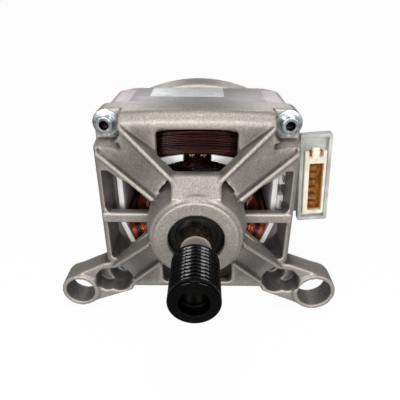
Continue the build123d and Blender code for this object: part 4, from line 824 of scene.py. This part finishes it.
@dataclass
class FieldCoil:
    """One field coil: a bundle of wire round a stator pole, laid turn beside turn.

    Attributes:
        up: 1 for the upper coil, -1 for the lower.
        slot_x: Half the distance between the bundle's legs in the slots.
        slot_z: Height of the legs.
        shoulder_x: Half width of the end turn's crown.
        shoulder_z: Height where the crown starts.
        crown_z: Height of the crown's middle.
        stand_off: How far the crown stands off the stator's face.
        layers: Radius of each layer at its wires' centres, with its number of turns.
        wire: Radius of one wire.
        sides: Sides of the wire.
        steps: Points along each turn.
        spare: Places that the turns leave free round the bundle.
        climb: Where along a turn the wire starts to climb to the next place, and how long it takes.
        wander: Angle that a turn wanders by, in radians.
        swell: How far a turn wanders in and out.
    """

    up: int
    slot_x: float = 36.5
    slot_z: float = 15.5
    shoulder_x: float = 20.5
    shoulder_z: float = 34.6
    crown_z: float = 36.0
    stand_off: float = 9.6
    layers: tuple[tuple[float, int], ...] = ((5.55, 34), (6.4, 40))
    wire: float = 0.46
    sides: int = 6
    steps: int = 130
    spare: float = 1.5
    climb: Span = (0.62, 0.2)
    wander: float = 0.034
    swell: float = 0.14

    def corners(self) -> list[Tube]:
        """Points and directions round the bundle's centre line.

        Returns:
            Pairs of point and direction, from the left slot's front and round to it.
        """
        front = STATOR_FRONT - self.stand_off
        rear = STATOR_REAR + self.stand_off
        rise = self.crown_z - self.shoulder_z
        lean = 2 * rise * self.shoulder_x / (self.shoulder_x**2 + rise**2)
        flat = math.sqrt(1 - lean**2)
        rows = [
            ((-self.slot_x, STATOR_FRONT, self.slot_z), (0, -1, 0)),
            ((-self.shoulder_x, front, self.shoulder_z), (flat, 0, lean)),
            ((self.shoulder_x, front, self.shoulder_z), (flat, 0, -lean)),
            ((self.slot_x, STATOR_FRONT, self.slot_z), (0, 1, 0)),
            ((self.slot_x, STATOR_REAR, self.slot_z), (0, 1, 0)),
            ((self.shoulder_x, rear, self.shoulder_z), (-flat, 0, lean)),
            ((-self.shoulder_x, rear, self.shoulder_z), (-flat, 0, -lean)),
            ((-self.slot_x, STATOR_REAR, self.slot_z), (0, -1, 0)),
            ((-self.slot_x, STATOR_FRONT, self.slot_z), (0, -1, 0)),
        ]
        return [(np.array(point, dtype=float), np.array(way, dtype=float)) for point, way in rows]

    @staticmethod
    def arcs(start: np.ndarray, way: np.ndarray, end: np.ndarray, end_way: np.ndarray) -> list[tuple]:
        """Splits a bend into two tangent arcs that meet at the mean of their equal tangent points.

        Args:
            start: First point.
            way: Direction there.
            end: Last point.
            end_way: Direction there.

        Returns:
            Start, direction and end of each arc, or of the straight run.
        """
        gap = end - start
        if gap @ way / np.linalg.norm(gap) > 0.9999:
            return [(start, way, end)]
        both = way + end_way
        spread = 2 * (1 - way @ end_way)
        reach = (math.sqrt((gap @ both) ** 2 + spread * (gap @ gap)) - gap @ both) / spread
        joint = (start + end + (way - end_way) * reach) / 2
        turn = (end - end_way * reach) - (start + way * reach)
        return [(start, way, joint), (joint, turn / np.linalg.norm(turn), end)]

    def centre(self) -> tuple[np.ndarray, np.ndarray, np.ndarray]:
        """Centre line with two directions across it that don't twist.

        On an arc every point and direction turns about the arc's axis, by the same angle each step.

        Returns:
            Points, outward directions and second directions, one row for each step.
        """
        rows = self.corners()
        pieces = [arc for (a, b) in zip(rows[:-1], rows[1:]) for arc in self.arcs(*a, *b)]
        lengths = np.array([np.linalg.norm(end - start) for start, _, end in pieces])
        counts = np.maximum(3, np.round(lengths / lengths.sum() * self.steps)).astype(int)
        first = np.array([-1.0, 0.0, 0.0])
        second = np.array([0.0, 0.0, 1.0])
        out = []
        for (start, way, end), count in zip(pieces, counts):
            share = np.arange(count) / count
            chord = end - start
            axis = np.cross(way, chord)
            size = np.linalg.norm(axis)
            if size < 1e-6 * np.linalg.norm(chord):
                points = start + share[:, None] * chord
                out.append((points, np.tile(first, (count, 1)), np.tile(second, (count, 1))))
                continue
            axis /= size
            half = math.asin(min(1.0, size / np.linalg.norm(chord)))
            hub = start + np.cross(axis, way) * (np.linalg.norm(chord) / 2 / math.sin(half))
            angle = 2 * half * share
            out.append((hub + self.turned(start - hub, axis, angle), self.turned(first, axis, angle),
                        self.turned(second, axis, angle)))
            first = self.turned(first, axis, np.array([2 * half]))[0]
            second = self.turned(second, axis, np.array([2 * half]))[0]
        return tuple(np.concatenate(parts) for parts in zip(*out))

    @staticmethod
    def turned(vector: np.ndarray, axis: np.ndarray, angle: np.ndarray) -> np.ndarray:
        """Turns a vector about an axis by each of several angles.

        Args:
            vector: The vector.
            axis: Unit axis.
            angle: Angles in radians.

        Returns:
            One row for each angle.
        """
        cos, sin = np.cos(angle)[:, None], np.sin(angle)[:, None]
        return vector * cos + np.cross(axis, vector) * sin + axis * (axis @ vector) * (1 - cos)

    def wind(self, radius: float, turns: int, seed: int) -> tuple[np.ndarray, np.ndarray, np.ndarray]:
        """Winds one layer as one wire.

        The wire's angle round the bundle grows by one place each turn, on the crown behind the stator,
        and it wanders by part of a wire's width, as hand-laid turns do.

        Args:
            radius: The layer's radius.
            turns: Its number of turns.
            seed: Seed of the wander.

        Returns:
            The wire's path, the outward direction and the turn's number at each of its points.
        """
        centre, first, second = self.centre()
        count = len(centre)
        turn = np.arange(count * turns) // count
        spot = np.arange(count * turns) % count
        share = spot / count
        step = 2 * np.pi / (turns + self.spare)
        behind = np.clip((share - self.climb[0]) / self.climb[1], 0, 1)
        climb = behind * behind * (3 - 2 * behind)
        rng = np.random.default_rng(seed)
        phase = rng.uniform(0, 2 * np.pi, (3, turns))
        size = rng.uniform(0.25, 1.0, (3, turns))
        wave = sum(size[k][turn] * np.sin((k + 1) * 2 * np.pi * share + phase[k][turn]) for k in range(3))
        out = share * (1 - share) * 4
        angle = np.pi + step * (turn + climb - turns / 2) + self.wander * wave * out
        reach = radius + self.swell * np.sin(4 * np.pi * share + phase[1][turn]) * out
        aside = np.cos(angle)[:, None] * first[spot] + np.sin(angle)[:, None] * second[spot]
        return centre[spot] + reach[:, None] * aside, aside, turn

    def build(self) -> Object:
        """Winds both layers and gives each turn its own random shade, lifted brighter on the lower coil as
        painted light.

        Returns:
            The finished piece.
        """
        side = np.array([1, 1, self.up])
        tubes, tones = [], []
        for number, (radius, turns) in enumerate(self.layers):
            path, aside, turn = self.wind(radius, turns, 7 + number + 2 * self.up)
            tubes.append(tube(path * side, aside * side, self.wire, self.sides))
            # the lower coil is lifted brighter as painted light, and the upper coil is left darker as painted
            # shade
            painted_light_lift = 0.0 if self.up > 0 else 0.3
            shade = np.random.default_rng(30 + number).random(turns)[turn] * 0.6 + painted_light_lift
            tones.append(np.concatenate([np.repeat(shade, self.sides), shade[:1], shade[-1:]]))
        name = "upper_coil" if self.up > 0 else "lower_coil"
        piece = tube_object(name + "_turns", tubes, tones)
        Slot.coil_copper.dress(piece)
        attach(piece, "frame")
        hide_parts(name + "_wire", name + "_core")
        return piece


@dataclass
class RotorWinding:
    """The rotor's winding: wires along the slots, and strands that cross from slot to slot at both ends.

    Attributes:
        slots: Number of slots.
        slot_radius: Distances of the slots' wires from the axis.
        outer: Radius of the heads at the core.
        inner: Radius where a strand passes the shaft.
        reach: How far the strands stand off the core.
        strands: Number of strands at each end.
        wire: Radius of one strand.
        slot_wire: Radius of the slots' wires, drawn thick enough to fill them.
        overhang: How far these stand out of the core.
        gap: Distance from the core to the first strands.
        span: Degrees from a strand's slot to the slot where it ends.
        golden: Turns from each strand's start to the next one's, which spreads them evenly.
        loose: How far a strand's ends and its middle wander inwards.
        points: Points along each strand.
    """

    slots: int = 24
    slot_radius: tuple[float, ...] = (21.0, 23.4, 25.8, 28.0)
    outer: float = 25.2
    inner: float = 14.0
    reach: float = 15.0
    strands: int = 190
    wire: float = 0.42
    slot_wire: float = 1.15
    overhang: float = 0.8
    gap: float = 0.5
    span: float = 165.0
    golden: float = 0.618
    loose: Span = (1.2, 6.0)
    points: int = 26

    def in_slots(self) -> list[Tube]:
        """Straight wires along the slots, four in each.

        Returns:
            The tubes.
        """
        tubes = []
        along = np.array([STATOR_FRONT - self.overhang, STATOR_REAR + self.overhang])
        for slot in range(self.slots):
            angle = 2 * np.pi * slot / self.slots
            out = np.array([np.cos(angle), 0, np.sin(angle)])
            for radius in self.slot_radius:
                path = out * radius + along[:, None] * [0, 1, 0]
                tubes.append(tube(path, np.tile(out, (2, 1)), self.slot_wire, 6))
        return tubes

    def head(self, way: int) -> list[Tube]:
        """Strands of one end: each runs in from its slot, past the shaft and out to another slot.

        A strand's distance from the axis falls and its height rises with the same half wave, and
        later strands lie higher.

        Args:
            way: -1 for the front end and 1 for the rear end.

        Returns:
            The tubes.
        """
        face = STATOR_FRONT - self.gap if way < 0 else STATOR_REAR + self.gap
        rng = np.random.default_rng(21 + way)
        share = np.linspace(0, 1, self.points)
        hump = np.sin(np.pi * share) ** 0.6
        tubes = []
        for strand in range(self.strands):
            level = strand / self.strands
            outer = self.outer - self.loose[0] * rng.random()
            angle = 2 * np.pi * strand * self.golden + np.radians(self.span) * share
            radius = outer - (outer - self.inner - self.loose[1] * rng.random()) * hump
            height = (self.reach - 0.7) * (0.25 + 0.75 * level) * hump**0.7
            path = np.stack([radius * np.cos(angle), face + way * height, radius * np.sin(angle)], axis=1)
            aside = np.tile([0.3, float(way), 0.0], (len(share), 1))
            tubes.append(tube(path, aside, self.wire, 5))
        return tubes

    def build(self) -> Object:
        """Joins the slots' wires and both heads.

        Returns:
            The finished piece.
        """
        tubes = self.in_slots() + self.head(-1) + self.head(1)
        rng = np.random.default_rng(40)
        # the rotor's strands are kept to the dark end of the copper's shades: painted shade inside the motor
        tones = [np.full(len(points), 0.02 + 0.4 * rng.random()) for points, _ in tubes]
        piece = tube_object("rotor_winding_strands", tubes, tones)
        Slot.coil_copper.dress(piece)
        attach(piece, "rotor")
        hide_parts("rotor_winding")
        return piece


@dataclass
class Studio:
    """Floor, lamps, world and the camera at the photograph's angle.

    Attributes:
        eye_mm: The camera's place.
        pitch: Degrees that the camera looks down.
        yaw: Degrees that it turns.
        roll: Degrees that it leans.
        lens: Focal length in millimetres.
        sensor: Width of the sensor.
        left_mm: A point of the floor, under the left leg.
        right_mm: A point of the floor, under the right leg.
        back_mm: A point of the floor, under the rear bracket.
        half_floor: Half the floor's side.
        seen: Share of plain white that the camera sees on the floor, which leaves the shadow.
        middle: The point that the lamps face, in metres.
        lamps: Each lamp's name, place in metres, side in metres and watts.
        surround: The world's strength for light, which the camera sees as 1.
    """

    eye_mm: Point = (3.192, -129.873, 107.721)
    pitch: float = 27.844
    yaw: float = -0.4773
    roll: float = 0.1315
    lens: float = 34.835
    sensor: float = 36.0
    left_mm: Point = (-72.5, 71.4, -66.45)
    right_mm: Point = (72.5, 71.4, -67.95)
    back_mm: Point = (0.0, 148.4, -50.0)
    half_floor: float = 2500.0
    seen: float = 0.93
    middle: Point = (0.0, 0.06, 0.0)
    lamps: tuple[tuple[str, Point, float, float], ...] = (
        ("overhead", (0.0, -0.05, 0.75), 0.5, 2.4),
        ("front_left", (-0.30, -0.80, 0.30), 0.3, 5.0),
        ("front_right", (0.34, -0.78, 0.28), 0.3, 4.8),
        ("behind_left", (-0.24, 0.95, 0.42), 0.12, 0.9),
        ("behind_right", (0.24, 0.95, 0.42), 0.12, 0.9),
    )
    surround: float = 0.16

    def camera(self) -> None:
        """Sets the camera up: it looks forward, with right and up square to that and to each other."""
        pitch, yaw, roll = (math.radians(a) for a in (self.pitch, self.yaw, self.roll))
        flat = math.cos(pitch)
        forward = Vector((math.sin(yaw) * flat, math.cos(yaw) * flat, -math.sin(pitch)))
        level = Vector((math.cos(yaw), -math.sin(yaw), 0))
        upright = level.cross(forward)
        right = level * math.cos(roll) + upright * math.sin(roll)
        up = upright * math.cos(roll) - level * math.sin(roll)
        data = bpy.data.cameras.new("photo_camera")
        data.lens = self.lens
        data.sensor_width = self.sensor
        data.clip_start = 0.005
        made = bpy.data.objects.new("photo_camera", data)
        turn = Matrix((right, up, -forward)).transposed().to_4x4()
        made.matrix_world = Matrix.Translation(Vector(self.eye_mm) * MM) @ turn
        bpy.context.scene.collection.objects.link(made)
        bpy.context.scene.camera = made

    def floor(self) -> None:
        """Lays a square floor through the three points that the motor stands on."""
        left, right, back = (np.array(point) for point in (self.left_mm, self.right_mm, self.back_mm))
        normal = np.cross(right - left, back - left)
        normal /= np.linalg.norm(normal)
        across = np.array([1.0, 0.0, 0.0]) - normal * normal[0]
        across /= np.linalg.norm(across)
        deep = np.cross(normal, across)
        middle = (left + right) / 2
        ways = np.array([[-1, -1], [1, -1], [1, 1], [-1, 1]])
        corners = middle + self.half_floor * (ways @ np.array([across, deep]))
        floor = new_object("floor", corners, [[0, 1, 2, 3]])
        material = bpy.data.materials.new("matt_white_paper")
        material.use_nodes = True
        tree = material.node_tree
        shader = tree.nodes["Principled BSDF"]
        shader.inputs["Roughness"].default_value = 0.9
        out = tree.nodes["Material Output"]
        ray = add(tree, "LightPath")
        glossy = ray.outputs["Is Glossy Ray"]
        paper = add(tree, "Mix", {0: glossy, 6: "f6f6f6", 7: "6c6a68"}, data_type="RGBA")
        tree.links.new(paper.outputs[2], shader.inputs["Base Color"])
        seen = add(tree, "Math", {0: ray.outputs["Is Camera Ray"], 1: self.seen}, operation="MULTIPLY")
        glow = add(tree, "Emission", {"Color": "ffffff", "Strength": 1.0})
        both = add(tree, "MixShader", {0: seen, 1: shader, 2: glow})
        tree.links.new(both.outputs[0], out.inputs[0])
        floor.data.materials.append(material)

    def light(self) -> None:
        """Lights the set: a broad lamp overhead, two in front, two small ones behind and a pale surround."""
        for name, place, size, power in self.lamps:
            data = bpy.data.lights.new(name, "AREA")
            data.size = size
            data.energy = power
            made = bpy.data.objects.new(name, data)
            made.location = place
            made.rotation_euler = (Vector(self.middle) - Vector(place)).to_track_quat("-Z", "Y").to_euler()
            bpy.context.scene.collection.objects.link(made)
        world = bpy.data.worlds.new("pale_surround")
        world.use_nodes = True
        bpy.context.scene.world = world
        tree = world.node_tree
        back = tree.nodes["Background"]
        ray = add(tree, "LightPath")
        seen = add(tree, "Math", {0: ray.outputs["Is Camera Ray"], 1: 1 - self.surround, 2: self.surround},
                   operation="MULTIPLY_ADD")
        back.inputs["Color"].default_value = (1.0, 1.0, 1.0, 1.0)
        tree.links.new(seen.outputs[0], back.inputs["Strength"])

    def build(self) -> None:
        """Sets the whole studio up."""
        self.camera()
        self.floor()
        self.light()
        bpy.context.scene.view_settings.view_transform = "Standard"


@dataclass
class BrushSpring:
    """Spring behind one carbon brush, kept in the frame's shape.

    Attributes:
        side: Left or right, as the frame's nodes are named.
    """

    side: str

    def build(self) -> Object:
        """Builds the spring: a smooth-shaded copy of the frame's spring, with a mesh of its own.

        Returns:
            The finished spring.
        """
        node = self.side + "_brush_spring"
        piece = merged_copy(node, node + "_coil")
        piece.data.shade_smooth()
        Slot.spring_steel.dress(piece)
        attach(piece, "frame")
        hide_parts(node)
        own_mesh(piece)
        return piece


@dataclass
class Motor:
    """The whole motor: which nodes are softened castings, which get broken edges, and which stay.

    Attributes:
        edged: Nodes with broken edges, and the width of those edges.
    """

    edged: tuple[tuple[str, float], ...] = (
        ("belt_pulley", 0.12), ("through_bolts", 0.15), ("bolt_washers", 0.25), ("connector_housing", 0.3),
        ("connector_tray", 0.35), ("connector_contacts", 0.12), ("front_insulator", 0.3),
        ("rear_insulator", 0.3), ("terminal_blocks", 0.4), ("lead_terminals", 0.12), ("shaft", 0.15),
        ("tacho_cap", 0.2), ("tacho_screws", 0.15), ("brush_holders", 0.4), ("brush_caps", 0.2),
        ("stator_core", 0.2), ("commutator_segments", 0.1), ("label", 0.08), ("front_outer_race", 0.25),
        ("front_inner_race", 0.25), ("rear_outer_race", 0.25), ("rear_inner_race", 0.25),
    )

    def build(self) -> None:
        """Builds and dresses every piece."""
        record = FRAME["record"]
        slots = {row["node"]: Slot[row["material_slot"]] for row in record["subparts"]}
        bodies = {node: body for body, nodes in record["behaviour"]["bodies"].items() for node in nodes}
        for name, node in FRAME["nodes"].items():
            slots[name].dress(node)
        makers = [Casting("front_bracket"), Casting("rear_bracket"), FieldCoil(1), FieldCoil(-1),
                  RotorWinding(), BrushSpring("left"), BrushSpring("right")]
        makers += [EdgedPiece(node, bodies[node], slots[node], edge) for node, edge in self.edged]
        for maker in makers:
            piece = maker.build()
            LOG.info("%s: %d faces", piece.name, len(piece.data.polygons))


def main() -> None:
    """Builds the studio and the motor."""
    logging.basicConfig(level=logging.INFO, format="%(message)s")
    Studio().build()
    Motor().build()


if __name__ == "__main__":
    main()
